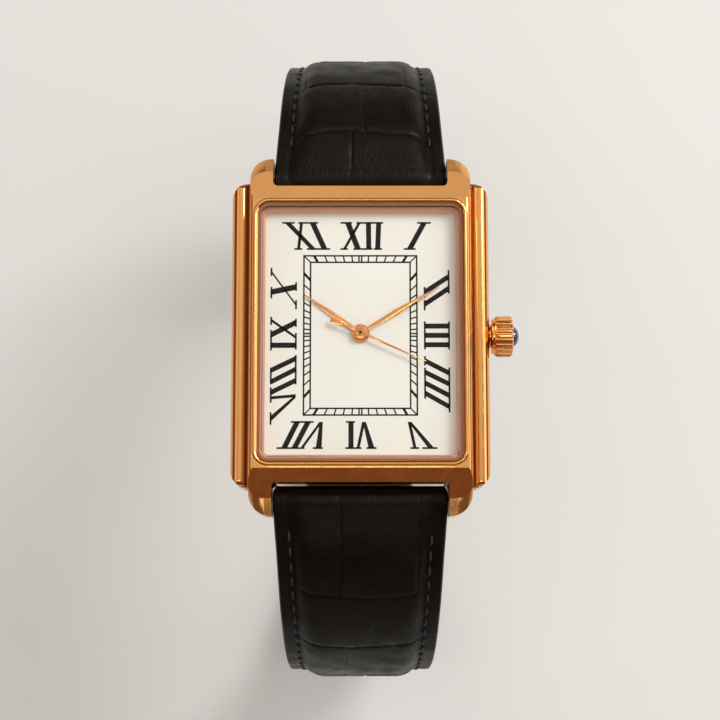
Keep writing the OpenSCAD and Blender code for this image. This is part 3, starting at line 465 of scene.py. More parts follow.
def joined(objects, name):
    obj = alone(*objects)
    bpy.ops.object.join()
    obj.name = name
    return obj


def moved(obj, points):
    """Moves every vertex of a primitive to the given points, in millimetres."""
    obj.data.vertices.foreach_set("co", (np.asarray(points, float) * MM).ravel())
    obj.data.update()
    return obj


def carve(obj, cutter):
    """Cuts one object out of another and removes the cutter."""
    apply_modifier(obj, "BOOLEAN", operation="DIFFERENCE", solver="EXACT", object=cutter)
    bpy.data.objects.remove(cutter)
    return obj


# ---- strap


def ease(t):
    t = np.clip(t, 0, 1)
    return t * t * (3 - 2 * t)


def between(a, b, t):
    return a + (b - a) * np.clip(t, 0, 1)


def arc(length, radius):
    """How far a rounding of the given radius falls at a distance from its outer end."""
    return radius * (1 - np.sqrt(1 - np.clip(1 - np.asarray(length) / radius, 0, 1) ** 2))


def bend(radius, turn):
    return radius * turn, radius


class Route:
    """Middle line of a strap half: straight and curved runs, each a length and a radius."""

    def __init__(self, runs, side, tip=0.0):
        self.runs, self.side, self.tip = runs, side, tip
        self.length = sum(run for run, _ in runs)

    def at(self, s):
        """Place y, z and downward tilt at s along the route."""
        left = np.array(s, float)
        y, z, a = (np.full_like(left, value) for value in (BAR_Y, BAR_Z, START_TILT))
        for i, (run, radius) in enumerate(self.runs):
            low = -np.inf if i == 0 else 0
            high = np.inf if i == len(self.runs) - 1 else run
            step = np.clip(left, low, high)
            if radius:
                turned = a + step / radius
                y = y + radius * (np.sin(turned) - np.sin(a))
                z = z + radius * (np.cos(turned) - np.cos(a))
                a = turned
            else:
                y = y + step * np.cos(a)
                z = z - step * np.sin(a)
            left = left - step
        return y, z, a

    def point(self, x, s, n):
        """Place of a point x across, s along and n out of the strap."""
        y, z, a = self.at(s)
        x, y, z = np.broadcast_arrays(x, self.side * (y + n * np.sin(a)), z + n * np.cos(a))
        return np.stack([x, y, z], axis=-1)

    def frame(self, s):
        """Matrix that takes a piece from the origin onto the strap at s."""
        y, z, a = self.at(s)
        turn = Matrix.Rotation(-self.side * float(a), 4, "X")
        return Matrix.Translation((0, self.side * y * MM, z * MM)) @ turn

    def half_width(self, s):
        w = between(STRAP_W, STRAP_END_W, s / TAPER_L) / 2
        w = w + 0.1 * (1 - ease(s / 6)) - 0.4 * ease((-s - 1.0) / 0.72)
        if self.tip:
            past = np.maximum(s - self.length + self.tip, 0) / self.tip
            w = w * np.sqrt(np.maximum(1 - past**2, 0.02))
        return w

    def inner(self, s):
        return -between(ROLL_R - 0.05, END_T / 2, s / 30)

    def edge(self, s):
        return between(ROLL_R - 0.35, END_T / 2 - 0.1, s / 30)

    def pad(self, s):
        return PAD_H * between(0.25, 1, s / 5) * between(1, 0.1, (s - 14) / (self.length - 34))


BUCKLE_ROUTE = Route([(START_L, 0), bend(*SHOULDER), bend(*LEG), (LEG_RUN, 0)], 1)
TAIL_ROUTE = Route([(START_L, 0), bend(*SHOULDER), (DROP, 0), bend(*HEEL), (TAIL_RUN, 0)], -1, TIP_R)


class Scales:
    """Embossed scales: rows along the strap, each split across, with fine grooves that waver."""

    def __init__(self, seed, rows, splits, length):
        draw = Random(seed)
        self.rows = list(rows)
        while self.rows[-1] < length + 4:
            self.rows.append(self.rows[-1] + draw.uniform(6.4, 8.2))
        self.waves = [(draw.uniform(0, 6.3), draw.uniform(0.35, 0.6)) for _ in self.rows]
        self.splits = []
        for i in range(len(self.rows) + 1):
            middle = (-1.2 if i % 2 else 0.9) + draw.uniform(-0.5, 0.5)
            drawn = (middle, middle - draw.uniform(4.6, 5.8), middle + draw.uniform(4.6, 5.8))
            self.splits.append(splits[i] if i < len(splits) else drawn)

    def gap(self, s, x):
        """Distance from the nearest groove."""
        s, x = np.broadcast_arrays(s, x)
        best = np.full(s.shape, 9.0)
        index = np.zeros(s.shape, int)
        for row, (phase, rate) in zip(self.rows, self.waves):
            wave = 0.14 * np.sin(rate * x + phase) + 0.04 * np.sin(2.3 * x - phase)
            line = row + wave - 0.012 * x * x
            best = np.minimum(best, np.abs(s - line))
            index += s > line
        for i, splits in enumerate(self.splits):
            here = index == i
            for k, split in enumerate(splits):
                line = split + 0.12 * np.sin(0.5 * s + k) + 0.04 * np.sin(2.1 * s + 2 * k)
                best = np.where(here, np.minimum(best, np.abs(x - line)), best)
        return best


def strap_section(route, scales, s, x):
    """Height of the leather's outer face at s along and x across."""
    w = route.half_width(s)
    inside = np.maximum(w - np.abs(x), 0)
    rise = 1 - (1 - np.clip((inside - MARGIN - 0.05) / 2.3, 0, 1)) ** 2.4
    shoulder = ease((inside - MARGIN) / 0.7)
    fall = arc(inside, EDGE_ROUND)
    channel = 0.1 * np.exp(-(((inside - STITCH_INSET) / 0.28) ** 2))
    gap = scales.gap(s, x)
    groove = 0.1 * np.exp(-((gap / 0.1) ** 2)) + 0.035 * np.exp(-((gap / 0.45) ** 2))
    bulge = 0.012 * np.sin(1.9 * s + 0.8 * x) * np.sin(1.3 * x - 0.4 * s)
    return (
        route.edge(s)
        + route.pad(s) * rise * (0.55 + 0.45 * shoulder)
        + shoulder * (bulge - groove * between(0.45, 1, route.pad(s) / 0.5))
        - (1 - shoulder) * 0.25 * groove * ease(inside / 0.8)
        - fall
        - channel
    )


def spread(low, high, count):
    return np.linspace(low, high, count, endpoint=False)


def across_steps():
    """Places across the strap from -1 to 1, closer together at the margins."""
    middle = 0.72
    return np.concatenate(
        [spread(-1, -middle, 16), spread(-middle, middle, 100), np.linspace(middle, 1, 17)]
    )


def swept(route, s, top, bottom, width):
    """Closed band along a route, whose outer and inner faces are functions of s and x."""
    steps = across_steps()
    side = np.linspace(0, 1, 5)[1:]
    under = np.linspace(1, -1, 25)[1:]
    across = np.concatenate([steps, np.ones(4), under, -np.ones(4)])
    depth = np.concatenate([np.zeros(len(steps)), side, np.ones(len(under)), 1 - side])
    deselect()
    bpy.ops.mesh.primitive_grid_add(x_subdivisions=len(across) - 1, y_subdivisions=len(s) - 1, size=2)
    obj = bpy.context.object
    s_grid, x_grid = s[:, None], across[None, :] * width(s)[:, None]
    high = top(s_grid, x_grid)
    low = np.broadcast_to(bottom(s_grid, x_grid), high.shape)
    height = high + (low - high) * depth[None, :]
    moved(obj, route.point(x_grid, s_grid, height).reshape(-1, 3))
    return faced_out(cleaned(obj, merge=4e-6))


def strap_upper(route, scales, end_r):
    """Padded upper leather from round the spring bar to the buckle bar or the tip."""
    body_end = route.length + end_r
    reach = end_r or TIP_CLOSE
    start = -ROLL_FULL * np.cos(np.linspace(0, math.pi / 2, 14))[:-1]
    ending = body_end - reach * (1 - np.sin(np.linspace(0, math.pi / 2, 12)))[1:]
    finer, rest = 24.0, body_end - reach
    coarse = np.linspace(finer, rest, int((rest - finer) / 0.28))
    s = np.concatenate([start, spread(0, finer, 160), coarse, ending])

    def squeeze(s):
        front = np.sqrt(np.clip(1 - (np.minimum(s, 0) / ROLL_FULL) ** 2, 0, 1))
        back = np.sqrt(np.clip(1 - (np.maximum(s - body_end + reach, 0) / reach) ** 2, 0, 1))
        return front * back

    def low(s):
        """Underside: round the bar's loop, then on the lining."""
        hidden = ease((s - 1.2) / 1.2)
        if end_r:
            hidden = hidden * (1 - ease((s - route.length + SLOT_L + 0.6) / 1.0))
        return route.inner(s) + LINING_T * hidden

    def middle(s):
        """Height that the ends close to."""
        return np.where(s < 0, 0, 0 * s if end_r else (route.edge(s) + low(s)) / 2)

    def top(s, x):
        height = strap_section(route, scales, s, x)
        height = np.where(s < 0.0, np.minimum(height, ROLL_R), height)
        return middle(s) + (height - middle(s)) * squeeze(s)

    def bottom(s, x):
        return middle(s) + (low(s) - middle(s)) * squeeze(s) + 0 * x

    return swept(route, s, top, bottom, route.half_width)


def strap_lining(route, end):
    """Lining from behind the loop to end, a little narrower than the upper and with eased edges."""
    s = np.linspace(ROLL_R + 0.45, end, 90)
    inset, eased = 0.1, 0.12

    def top(s, x):
        return route.inner(s) + LINING_T + 0 * x

    def bottom(s, x):
        inside = np.maximum(route.half_width(s) - inset - np.abs(x), 0)
        return route.inner(s) + eased * (1 - ease(inside / 0.35))

    obj = swept(route, s, top, bottom, lambda s: route.half_width(s) - inset)
    bpy.ops.object.mode_set(mode="EDIT")
    bpy.ops.mesh.select_all(action="DESELECT")
    bpy.ops.mesh.select_non_manifold()
    bpy.ops.mesh.fill()
    bpy.ops.object.mode_set(mode="OBJECT")
    return faced_out(obj)


def stitch_lines(route, inset, first, last):
    """Lines of points (x, s) at an inset from the strap's outline: one round the tip, or one a side."""
    s = np.linspace(first, last, 900)
    right = np.stack([route.half_width(s), s], axis=-1)
    rows = [right, right * [-1, 1]]
    if route.tip:
        rows = [np.concatenate([right, right[::-1] * [-1, 1]])]
    lines = []
    for row in rows:
        step = np.gradient(row, axis=0)
        step /= np.maximum(np.linalg.norm(step, axis=1, keepdims=True), 1e-9)
        inward = np.stack([-step[:, 1], step[:, 0]], axis=-1)
        inward *= np.where((inward[:, :1] * row[:, :1]) > 0, -1, 1)
        inner = row + inward * inset
        apart = np.min(np.linalg.norm(inner[:, None] - row[None, ::4], axis=2), axis=1)
        lines.append(inner[apart > inset * 0.97])
    return lines


def stitches(route, scales, pitch, last, finish, name, body):
    """Thread stitches, a pitch apart, lying in the channel near the strap's edges."""
    deselect()
    bpy.ops.mesh.primitive_uv_sphere_add(segments=8, ring_count=6, radius=1)
    model = bpy.context.object
    model.scale = [size * MM for size in STITCH_SIZE]
    fix_place(model)
    smoothed(model, 80)
    made = []
    for line in stitch_lines(route, STITCH_INSET, FIRST_STITCH, last):
        steps = np.linalg.norm(np.diff(line, axis=0), axis=1)
        run = np.concatenate([[0], np.cumsum(steps)])
        for at in np.arange(pitch / 2, run[-1], pitch):
            x, s = (np.interp(at, run, line[:, k]) for k in (0, 1))
            ahead = [np.interp(min(at + 0.3, run[-1]), run, line[:, k]) for k in (0, 1)]
            n = float(strap_section(route, scales, np.array(s), np.array(x))) + STITCH_LIFT
            here = Vector(route.point(x, s, n))
            along = (Vector(route.point(ahead[0], ahead[1], n)) - here).normalized()
            out = (Vector(route.point(x, s, n + 1)) - here).normalized()
            across = along.cross(out).normalized()
            turn = Matrix((across, along, across.cross(along))).transposed().to_4x4()
            copy = placed("stitch", model.data.copy())
            copy.data.transform(Matrix.Translation(here * MM) @ turn)
            made.append(copy)
    bpy.data.objects.remove(model)
    return finished(joined(made, name), name, body, finish)


def keeper_outline(gap):
    """Points (x, z) of a keeper's middle line round the strap, each with its outward direction."""
    half_w = STRAP_END_W / 2 + KEEPER_GAP + KEEPER_T / 2
    low = -END_T / 2 - gap - KEEPER_T / 2
    high = END_T * 1.5 + 3 * KEEPER_GAP + KEEPER_T / 2
    middle, half_h, r = (low + high) / 2, (high - low) / 2, KEEPER_ROUND
    corners = []
    for cx, cz, start in ((1, 1, 0), (-1, 1, 90), (-1, -1, 180), (1, -1, 270)):
        corner = []
        for turn in np.linspace(0, 90, 9):
            a = math.radians(start + turn)
            out = (math.cos(a), math.sin(a))
            place = (cx * (half_w - r) + r * out[0], middle + cz * (half_h - r) + r * out[1])
            corner.append((*place, *out))
        corners.append(corner)
    ring = []
    for corner, following in zip(corners, corners[1:] + corners[:1]):
        ring.extend(corner)
        (x, z, *out), (next_x, next_z, *_) = corner[-1], following[0]
        for k in range(1, 12):
            ring.append((x + (next_x - x) * k / 12, z + (next_z - z) * k / 12, *out))
    return ring


def keeper_section():
    """Points (along, out) round a keeper's band: crowned outside with creased margins, flat inside."""
    section = []
    half_l, crown = KEEPER_L / 2, 0.08
    for t in np.linspace(-1, 1, 25):
        near = half_l - abs(t * half_l)
        crease = 0.09 * math.exp(-(((near - 0.75) / 0.14) ** 2))
        section.append((t * half_l, KEEPER_T / 2 - arc(near, EDGE_ROUND) - crease - crown * t * t))
    for t in np.linspace(1, -1, 7):
        section.append((t * half_l, arc(half_l - abs(t * half_l), 0.15) - KEEPER_T / 2))
    return section


def keeper_loop(s, gap):
    """Leather loop round the strap at distance s."""
    ring, section = keeper_outline(gap), keeper_section()
    deselect()
    bpy.ops.mesh.primitive_torus_add(
        major_segments=len(ring), minor_segments=len(section), major_radius=1, minor_radius=0.2
    )
    points = [
        BUCKLE_ROUTE.point(x + out_x * h, s + v, z + out_z * h)
        for x, z, out_x, out_z in ring
        for v, h in section
    ]
    obj = moved(bpy.context.object, points)
    return smoothed(faced_out(cleaned(obj, merge=1e-6)), 50)


# ---- dial print

# Each numeral: the side it stands on, strokes as (outer end, inner end, width), and the serifs of its
# outer and inner ends as (from, to). All places are millimetres from the dial's centre along that side.
# A thick stroke whose inner end lies within MEET of a thin stroke's ends in a point, POINT to a side.
THICK, BROAD, STEM, THIN, FINE, SERIF, MEET, POINT = 0.6, 0.55, 0.52, 0.31, 0.27, 0.18, 0.15, 0.16
NUMERALS = (
    ("top", ((-7.50, -4.87, THICK), (-6.08, -6.36, THIN), (-4.93, -3.69, THICK)),
     ((-8.07, -6.77), (-6.39, -4.36)), ((-6.80, -5.99), (-5.51, -3.09))),
    ("top", ((-1.28, -0.24, THICK), (-0.11, -1.63, THIN), (0.84, 0.87, STEM), (1.90, 1.79, STEM)),
     ((-2.05, -0.87), (-0.40, 2.36)), ((-2.05, -1.28), (-0.72, 1.25), (1.38, 2.24))),
    ("top", ((6.58, 5.09, THICK),), ((5.88, 7.28),), ((4.48, 5.70),)),
    ("right", ((6.07, 4.46, THICK), (4.85, 3.18, THICK)), ((4.31, 6.75),), ((3.88, 5.00), (2.56, 3.63))),
    ("right", ((0.92, 0.92, STEM), (-0.05, -0.05, STEM), (-1.02, -1.02, STEM)),
     ((-1.5, 1.4),), ((-1.5, 1.4),)),
    ("right",
     ((-3.96, -2.67, BROAD), (-5.09, -3.85, BROAD), (-6.27, -4.96, BROAD), (-7.43, -6.01, BROAD)),
     ((-8.0, -3.38),), ((-3.18, -2.2), (-6.59, -3.38))),
    ("bottom", ((7.19, 5.03, THICK), (5.54, 4.97, THIN)), ((5.07, 5.96), (6.27, 7.82)), ()),
    ("bottom", ((-0.96, -0.96, STEM), (1.13, 0.40, THICK), (-0.24, 0.33, THIN)),
     ((-1.53, 0.12), (0.61, 1.63)), ((-1.48, -0.55),)),
    ("bottom",
     ((-6.71, -5.32, THICK), (-7.75, -6.43, THICK), (-4.24, -3.98, THICK), (-5.95, -4.02, THIN)),
     ((-8.51, -5.67), (-4.83, -3.82)), ((-7.07, -4.77),)),
    ("left",
     ((-3.67, -2.44, BROAD), (-4.86, -3.55, BROAD), (-5.95, -4.70, BROAD), (-6.50, -6.27, THIN),
      (-8.65, -6.33, THICK)),
     ((-5.11, -3.38), (-6.98, -5.41), (-9.26, -7.98)), ((-5.11, -2.09),)),
    ("left", ((0.01, 1.30, THICK), (1.54, -0.26, THIN), (-1.07, -1.07, BROAD)),
     ((1.03, 1.89), (-1.62, 0.52)), ((0.83, 1.68), (-1.52, 0.21))),
    ("left", ((4.46, 5.00, THICK), (6.58, 3.12, FINE)),
     ((6.14, 7.01), (3.8, 5.0)), ((4.57, 5.49), (2.67, 3.63))),
)
BANDS = {"top": (11.6, 8.85), "bottom": (11.77, 9.1), "left": (9.14, 6.6), "right": (9.08, 6.6)}
# Railway track: half its width and length, its band, half a rail, a corner line, and how far the print
# lies towards VI
TRACK_W, TRACK_L, TRACK_BAND, RAIL_HALF, CORNER_LINE, PRINT_DROP = 5.8, 8.26, 0.68, 0.08, 0.13, 0.13
# Widths of its ticks: the twin ticks of the quarters, shifted to both sides, a plain and a wide tick
QUARTER_TICK, QUARTER_SHIFT, TICK, WIDE_TICK = 0.15, 0.14, 0.14, 0.26
# Degrees: where a corner lies, and how close to it a tick is left out or wide
CORNER_ANGLE, NO_TICK, NEAR_CORNER = 36, 3, 9


def on_side(side, along, out):
    """Place on the dial of a point that lies out from the centre towards a side."""
    return {
        "top": (along, out),
        "bottom": (along, -out),
        "right": (out, along - PRINT_DROP),
        "left": (-out, along - PRINT_DROP),
    }[side]


def numeral_quads():
    """Corners of every stroke and serif of the numerals."""
    quads = []
    for side, strokes, outer_serifs, inner_serifs in NUMERALS:
        outer, inner = BANDS[side]
        hair_ends = [b for _, b, width in strokes if width == THIN]
        for a, b, width in strokes:
            h = width / 2
            pointed = width == THICK and any(abs(b - end) < MEET for end in hair_ends)
            k = POINT if pointed else h
            corners = ((a - h, outer), (a + h, outer), (b + k, inner), (b - k, inner))
            quads.append([on_side(side, *corner) for corner in corners])
        for level, serifs in ((outer, outer_serifs), (inner, inner_serifs)):
            low_edge, high_edge = level - SERIF / 2, level + SERIF / 2
            for a, b in serifs:
                corners = ((a, low_edge), (b, low_edge), (b, high_edge), (a, high_edge))
                quads.append([on_side(side, *corner) for corner in corners])
    return quads


def line_quad(a, b, width):
    a, b = Vector(a), Vector(b)
    out = (b - a).orthogonal().normalized() * width / 2
    return [tuple(a - out), tuple(a + out), tuple(b + out), tuple(b - out)]


def track_quads():
    """Railway track: two rectangles, corner lines, and ticks that point at the centre."""
    quads = []
    inner_w, inner_l = TRACK_W - TRACK_BAND, TRACK_L - TRACK_BAND
    for w, l in ((TRACK_W, TRACK_L), (inner_w, inner_l)):
        end_w, end_l = w + RAIL_HALF, l + RAIL_HALF
        for sign in (-1, 1):
            quads.append(line_quad((-end_w, sign * l), (end_w, sign * l), 2 * RAIL_HALF))
            quads.append(line_quad((sign * w, -end_l), (sign * w, end_l), 2 * RAIL_HALF))
    for sx in (-1, 1):
        for sy in (-1, 1):
            inner, outer = (sx * inner_w, sy * inner_l), (sx * TRACK_W, sy * TRACK_L)
            quads.append(line_quad(inner, outer, CORNER_LINE))

    def tick(angle, width, shift=0.0):
        d = Vector((math.sin(angle), math.cos(angle)))
        side = Vector((d.y, -d.x)) * shift
        ends = []
        for w, l in ((inner_w, inner_l), (TRACK_W, TRACK_L)):
            reach = min(w / max(abs(d.x), 1e-6), l / max(abs(d.y), 1e-6))
            ends.append(d * reach + side)
        quads.append(line_quad(*ends, width))

    for minute in range(60):
        angle = minute * math.pi / 30
        from_upright = math.degrees(math.atan2(abs(math.sin(angle)), abs(math.cos(angle))))
        from_corner = abs(from_upright - CORNER_ANGLE)
        if minute % 15 == 0:
            for shift in (-QUARTER_SHIFT, QUARTER_SHIFT):
                tick(angle, QUARTER_TICK, shift)
        elif from_corner > NO_TICK:
            tick(angle, WIDE_TICK if from_corner < NEAR_CORNER else TICK)
    return [[(x, y - PRINT_DROP) for x, y in quad] for quad in quads]


def printed(name, quads, thickness, finish):
    """Raised print on the dial: one flat face a stroke, given its thickness at the end."""
    made = []
    for corners in quads:
        deselect()
        bpy.ops.mesh.primitive_plane_add(size=1)
        obj = bpy.context.object
        following = corners[1:] + corners[:1]
        turned = sum(a[0] * b[1] - b[0] * a[1] for a, b in zip(corners, following))
        ring = corners if turned > 0 else corners[::-1]
        order = [ring[0], ring[1], ring[3], ring[2]]
        moved(obj, [(x, y, DIAL_TOP - PRINT_SUNK) for x, y in order])
        made.append(obj)
    obj = joined(made, name)
    apply_modifier(obj, "SOLIDIFY", thickness=thickness * MM, offset=1.0)
    return finished(obj, name, "case", finish)


# ---- settings


class WatchLooks(bpy.types.PropertyGroup):
    gold: FloatVectorProperty(
        name="Rose gold", description="Colour of the case, crown and buckle", subtype="COLOR", size=3,
        default=(0.93, 0.45, 0.15),
    )
    hands: FloatVectorProperty(
        name="Hands", description="Colour of the hands", subtype="COLOR", size=3,
        default=(0.86, 0.38, 0.14),
    )
    flange: FloatVectorProperty(
        name="Flange", description="Colour of the ring round the dial", subtype="COLOR", size=3,
        default=(0.8, 0.42, 0.28),
    )
    ivory: FloatVectorProperty(
        name="Dial", description="Colour of the dial's lacquer", subtype="COLOR", size=3,
        default=(0.94, 0.91, 0.82),
    )
    ink: FloatVectorProperty(
        name="Print", description="Colour of the numerals and the track", subtype="COLOR", size=3,
        default=(0.006, 0.005, 0.004),
    )
    stone: FloatVectorProperty(
        name="Stone", description="Colour of the crown's cabochon", subtype="COLOR", size=3,
        default=(0.008, 0.014, 0.07),
    )
    hide: FloatVectorProperty(
        name="Leather", description="Colour of the strap's outside", subtype="COLOR", size=3,
        default=(0.0024, 0.002, 0.0017),
    )
    lining: FloatVectorProperty(
        name="Lining", description="Colour of the strap's lining", subtype="COLOR", size=3,
        default=(0.022, 0.014, 0.010),
    )
    floor: FloatVectorProperty(
        name="Floor", description="Colour of the floor", subtype="COLOR", size=3,
        default=(0.82, 0.8, 0.77),
    )
    edge: FloatProperty(
        name="Edge rounding", description="Rounding of the case's edges", unit="LENGTH",
        default=0.00012,
    )
    stitch_pitch: FloatProperty(
        name="Stitch pitch", description="Distance from one stitch to the next", unit="LENGTH",
        default=0.0016,
    )
    view_distance: FloatProperty(
        name="View distance", description="From the camera to the watch", unit="LENGTH", default=0.2
    )


class WATCH_OT_case(bpy.types.Operator):
    """Case middle with its rails and lugs, and the ring round the dial"""

    bl_idname = "watch.case"
    bl_label = "Case"

    def execute(self, context):
        looks = context.scene.watch_looks
        # The case gold is painted darker in the rail valleys, as shade.
        gold = polished_metal("polished rose gold", looks.gold, 0.1, (valley_shade_mask, VALLEY_SHADE_GOLD))
        dressed(
            "case_middle", "case_body", gold, looks.edge / MM,
            segments=7, angle=20.0, crease=14.5,
        )
        dressed("bezel", "bezel_ring", gold, 0.1)
        dressed("crown_tube", "crown_sleeve", gold, 0.05)
        satin = polished_metal("satin flange gold", looks.flange, 0.4).set("Metallic", 0.35)
        dressed("dial_flange", "flange_ring", satin, 0.04)
        return {"FINISHED"}


class WATCH_OT_crystal(bpy.types.Operator):
    """Clear crystal"""

    bl_idname = "watch.crystal"
    bl_label = "Crystal"

    def execute(self, context):
        dressed("crystal", "crystal_pane", clear_crystal(), 0.15)
        return {"FINISHED"}


class WATCH_OT_dial(bpy.types.Operator):
    """Dial with its numerals and railway track"""

    bl_idname = "watch.dial"
    bl_label = "Dial"

    def execute(self, context):
        looks = context.scene.watch_looks
        repaint(dial_lacquer(looks.ivory), "dial")
        ink = plastic("dial ink", looks.ink, 0.6).set("Specular IOR Level", 0.2)
        printed("dial_numerals", numeral_quads(), 0.02, ink)
        printed("dial_track", track_quads(), 0.016, ink)
        return {"FINISHED"}


class WATCH_OT_hands(bpy.types.Operator):
    """Hour, minute and second hand"""

    bl_idname = "watch.hands"
    bl_label = "Hands"

    def execute(self, context):
        metal = polished_metal("hand gold", context.scene.watch_looks.hands, 0.14)
        for node in ("hour_hand", "minute_hand", "second_hand"):
            dressed(node, node + "_blade", metal, 0.015, segments=2, angle=40.0)
        self.cap(metal)
        self.pin(polished_metal("pin steel", (0.05, 0.03, 0.025), 0.25))
        return {"FINISHED"}

    def cap(self, finish):
        """Flat cap with a raised ring on the second hand's hub."""
        radius, thickness, height = CAP
        deselect()
        bpy.ops.mesh.primitive_cylinder_add(
            vertices=64, radius=radius * MM, depth=thickness * MM, location=(0, 0, height * MM)
        )
        disc = fix_place(bpy.context.object)
        apply_modifier(disc, "BEVEL", width=0.03 * MM, segments=3, limit_method="ANGLE")
        radius, tube, height = CAP_RING
        deselect()
        bpy.ops.mesh.primitive_torus_add(
            major_segments=64, minor_segments=12, major_radius=radius * MM, minor_radius=tube * MM,
            location=(0, 0, height * MM),
        )
        ring = fix_place(bpy.context.object)
        cap = smoothed(joined([disc, ring], "cap"), 35)
        finished(cap, "second_cap", "seconds", finish)

    def pin(self, finish):
        """Low round end of the pin that carries the hands."""
        radius, flatness, height = PIN
        deselect()
        bpy.ops.mesh.primitive_uv_sphere_add(segments=32, ring_count=16, radius=radius * MM)
        pin = bpy.context.object
        pin.location.z, pin.scale.z = height * MM, flatness
        finished(smoothed(fix_place(pin), 80), "second_pin", "seconds", finish)


class WATCH_OT_crown(bpy.types.Operator):
    """Fluted crown with its stone"""

    bl_idname = "watch.crown"
    bl_label = "Crown"

    def execute(self, context):
        looks = context.scene.watch_looks
        gold = polished_metal("crown gold", looks.gold, 0.12)
        dressed("crown", "crown_knob", gold, 0.06)
        dressed("crown_stone", "crown_cabochon", cabochon(looks.stone), 0.02, angle=50.0)
        return {"FINISHED"}


class WATCH_OT_back(bpy.types.Operator):
    """Case back with its screws"""

    bl_idname = "watch.back"
    bl_label = "Case back"

    def execute(self, context):
        color = context.scene.watch_looks.gold
        brushed = brushed_metal("brushed rose gold", color, 0.2)
        dressed("case_back", "back_plate", brushed, 0.1)
        heads = polished_metal("screw gold", color, 0.16)
        dressed("back_screws", "back_screw_heads", heads, 0.03)
        return {"FINISHED"}


class WATCH_OT_movement(bpy.types.Operator):
    """Finishes of the movement, the seals and the spring bars"""

    bl_idname = "watch.movement"
    bl_label = "Movement"

    def execute(self, context):
        repaint(
            brushed_metal("brushed brass", (0.72, 0.52, 0.22), 0.25),
            "main_plate", "train_bridge", "fifth_wheel", "second_wheel", "third_wheel", "centre_wheel",
            "minute_wheel", "hour_wheel",
        )
        repaint(
            brushed_metal("brushed steel", (0.6, 0.61, 0.63), 0.22),
            "bridge_screws", "quartz_can", "stator", "button_cell", "cell_clip", "setting_wheel",
            "setting_lever", "sliding_pinion", "stem", "spring_bar_12", "spring_bar_6", "buckle_bar",
        )
        repaint(plastic("green board", (0.012, 0.13, 0.045), 0.35), "circuit_board")
        repaint(plastic("white moulding", (0.72, 0.72, 0.7)), "movement_holder")
        repaint(plastic("black seal", (0.018, 0.018, 0.018), 0.6), "crown_seal", "back_seal")
        repaint(plastic("brown seal", (0.28, 0.12, 0.055), 0.5), "crystal_seal")
        repaint(brushed_metal("copper winding", (0.72, 0.3, 0.14), 0.3, (40.0, 1.0, 1.0)), "coil")
        repaint(brushed_metal("plated magnet", (0.2, 0.2, 0.22), 0.3), "rotor")
        return {"FINISHED"}


class WATCH_OT_strap(bpy.types.Operator):
    """Both strap halves: padded leather, lining and stitching"""

    bl_idname = "watch.strap"
    bl_label = "Strap"

    def execute(self, context):
        looks = context.scene.watch_looks
        pitch = looks.stitch_pitch / MM
        hide = leather("embossed black leather", looks.hide, 0.4)
        inside = leather("smooth lining leather", looks.lining, 0.6, 0.7)
        sewing = thread((0.01, 0.008, 0.007))
        buckle_scales = Scales(3, (-3.2, 4.4), ((0,), (-1.0,), (0.4,)), BUCKLE_ROUTE.length)
        tail_scales = Scales(8, (-3.4, 9.3), ((0,), (-2.1, 6.0), (1.3,)), TAIL_ROUTE.length)
        halves = (
            ("strap_12", BUCKLE_ROUTE, buckle_scales, END_ROLL_R,
             ("strap_12_loop", "strap_12_leather", "strap_12_end")),
            ("strap_6", TAIL_ROUTE, tail_scales, 0, ("strap_6_loop", "strap_6_leather")),
        )
        for body, route, scales, end_r, replaced in halves:
            upper = strap_upper(route, scales, end_r)
            under = strap_lining(route, route.length - (SLOT_L + 0.3 if end_r else 0.3))
            if end_r:
                self.cut_slot(upper)
            else:
                self.cut_holes(upper)
                self.cut_holes(under)
            smoothed(upper, 40)
            smoothed(under, 40)
            finished(upper, body + "_upper", body, hide, replaced)
            sheet = body + "_lining_sheet"
            finished(under, sheet, body, inside, [body + "_lining"])
            last = route.length - (SLOT_L + 1.0 if end_r else 0.0)
            stitches(route, scales, pitch, last, sewing, body + "_stitching", body)
        return {"FINISHED"}

    def cut_slot(self, upper):
        """Slot for the buckle's tongue."""
        deselect()
        bpy.ops.mesh.primitive_cube_add(size=1)
        cutter = bpy.context.object
        cutter.scale = (TONGUE_SLOT * MM, (SLOT_L + SLOT_PAST) * MM, 6 * MM)
        fix_place(cutter)
        past = Matrix.Translation((0, (SLOT_PAST - SLOT_L) / 2 * MM, 0))
        cutter.data.transform(BUCKLE_ROUTE.frame(BUCKLE_ROUTE.length) @ past)
        carve(upper, cutter)

    def cut_holes(self, piece):
        """Round holes for the tongue along the tail."""
        pins = []
        for k in range(HOLES):
            deselect()
            bpy.ops.mesh.primitive_cylinder_add(vertices=24, radius=HOLE_R * MM, depth=8 * MM)
            pin = bpy.context.object
            pin.data.transform(TAIL_ROUTE.frame(TAIL_ROUTE.length - LAST_HOLE - k * HOLE_PITCH))
            pins.append(pin)
        carve(piece, joined(pins, "pins"))


class WATCH_OT_keepers(bpy.types.Operator):
    """Fixed and free keeper"""

    bl_idname = "watch.keepers"
    bl_label = "Keepers"

    def execute(self, context):
        hide = leather("keeper leather", context.scene.watch_looks.hide, 0.42, 0.8)
        fixed_s = BUCKLE_ROUTE.length - KEEPER_L - KEEPER_BACK
        for name, s, gap, body in (
            ("fixed_keeper", fixed_s, 0.0, "strap_12"),
            ("free_keeper", fixed_s - KEEPER_L - KEEPERS_APART, KEEPER_GAP, "keeper"),
        ):
            finished(keeper_loop(s, gap), name + "_band", body, hide, [name])
        return {"FINISHED"}


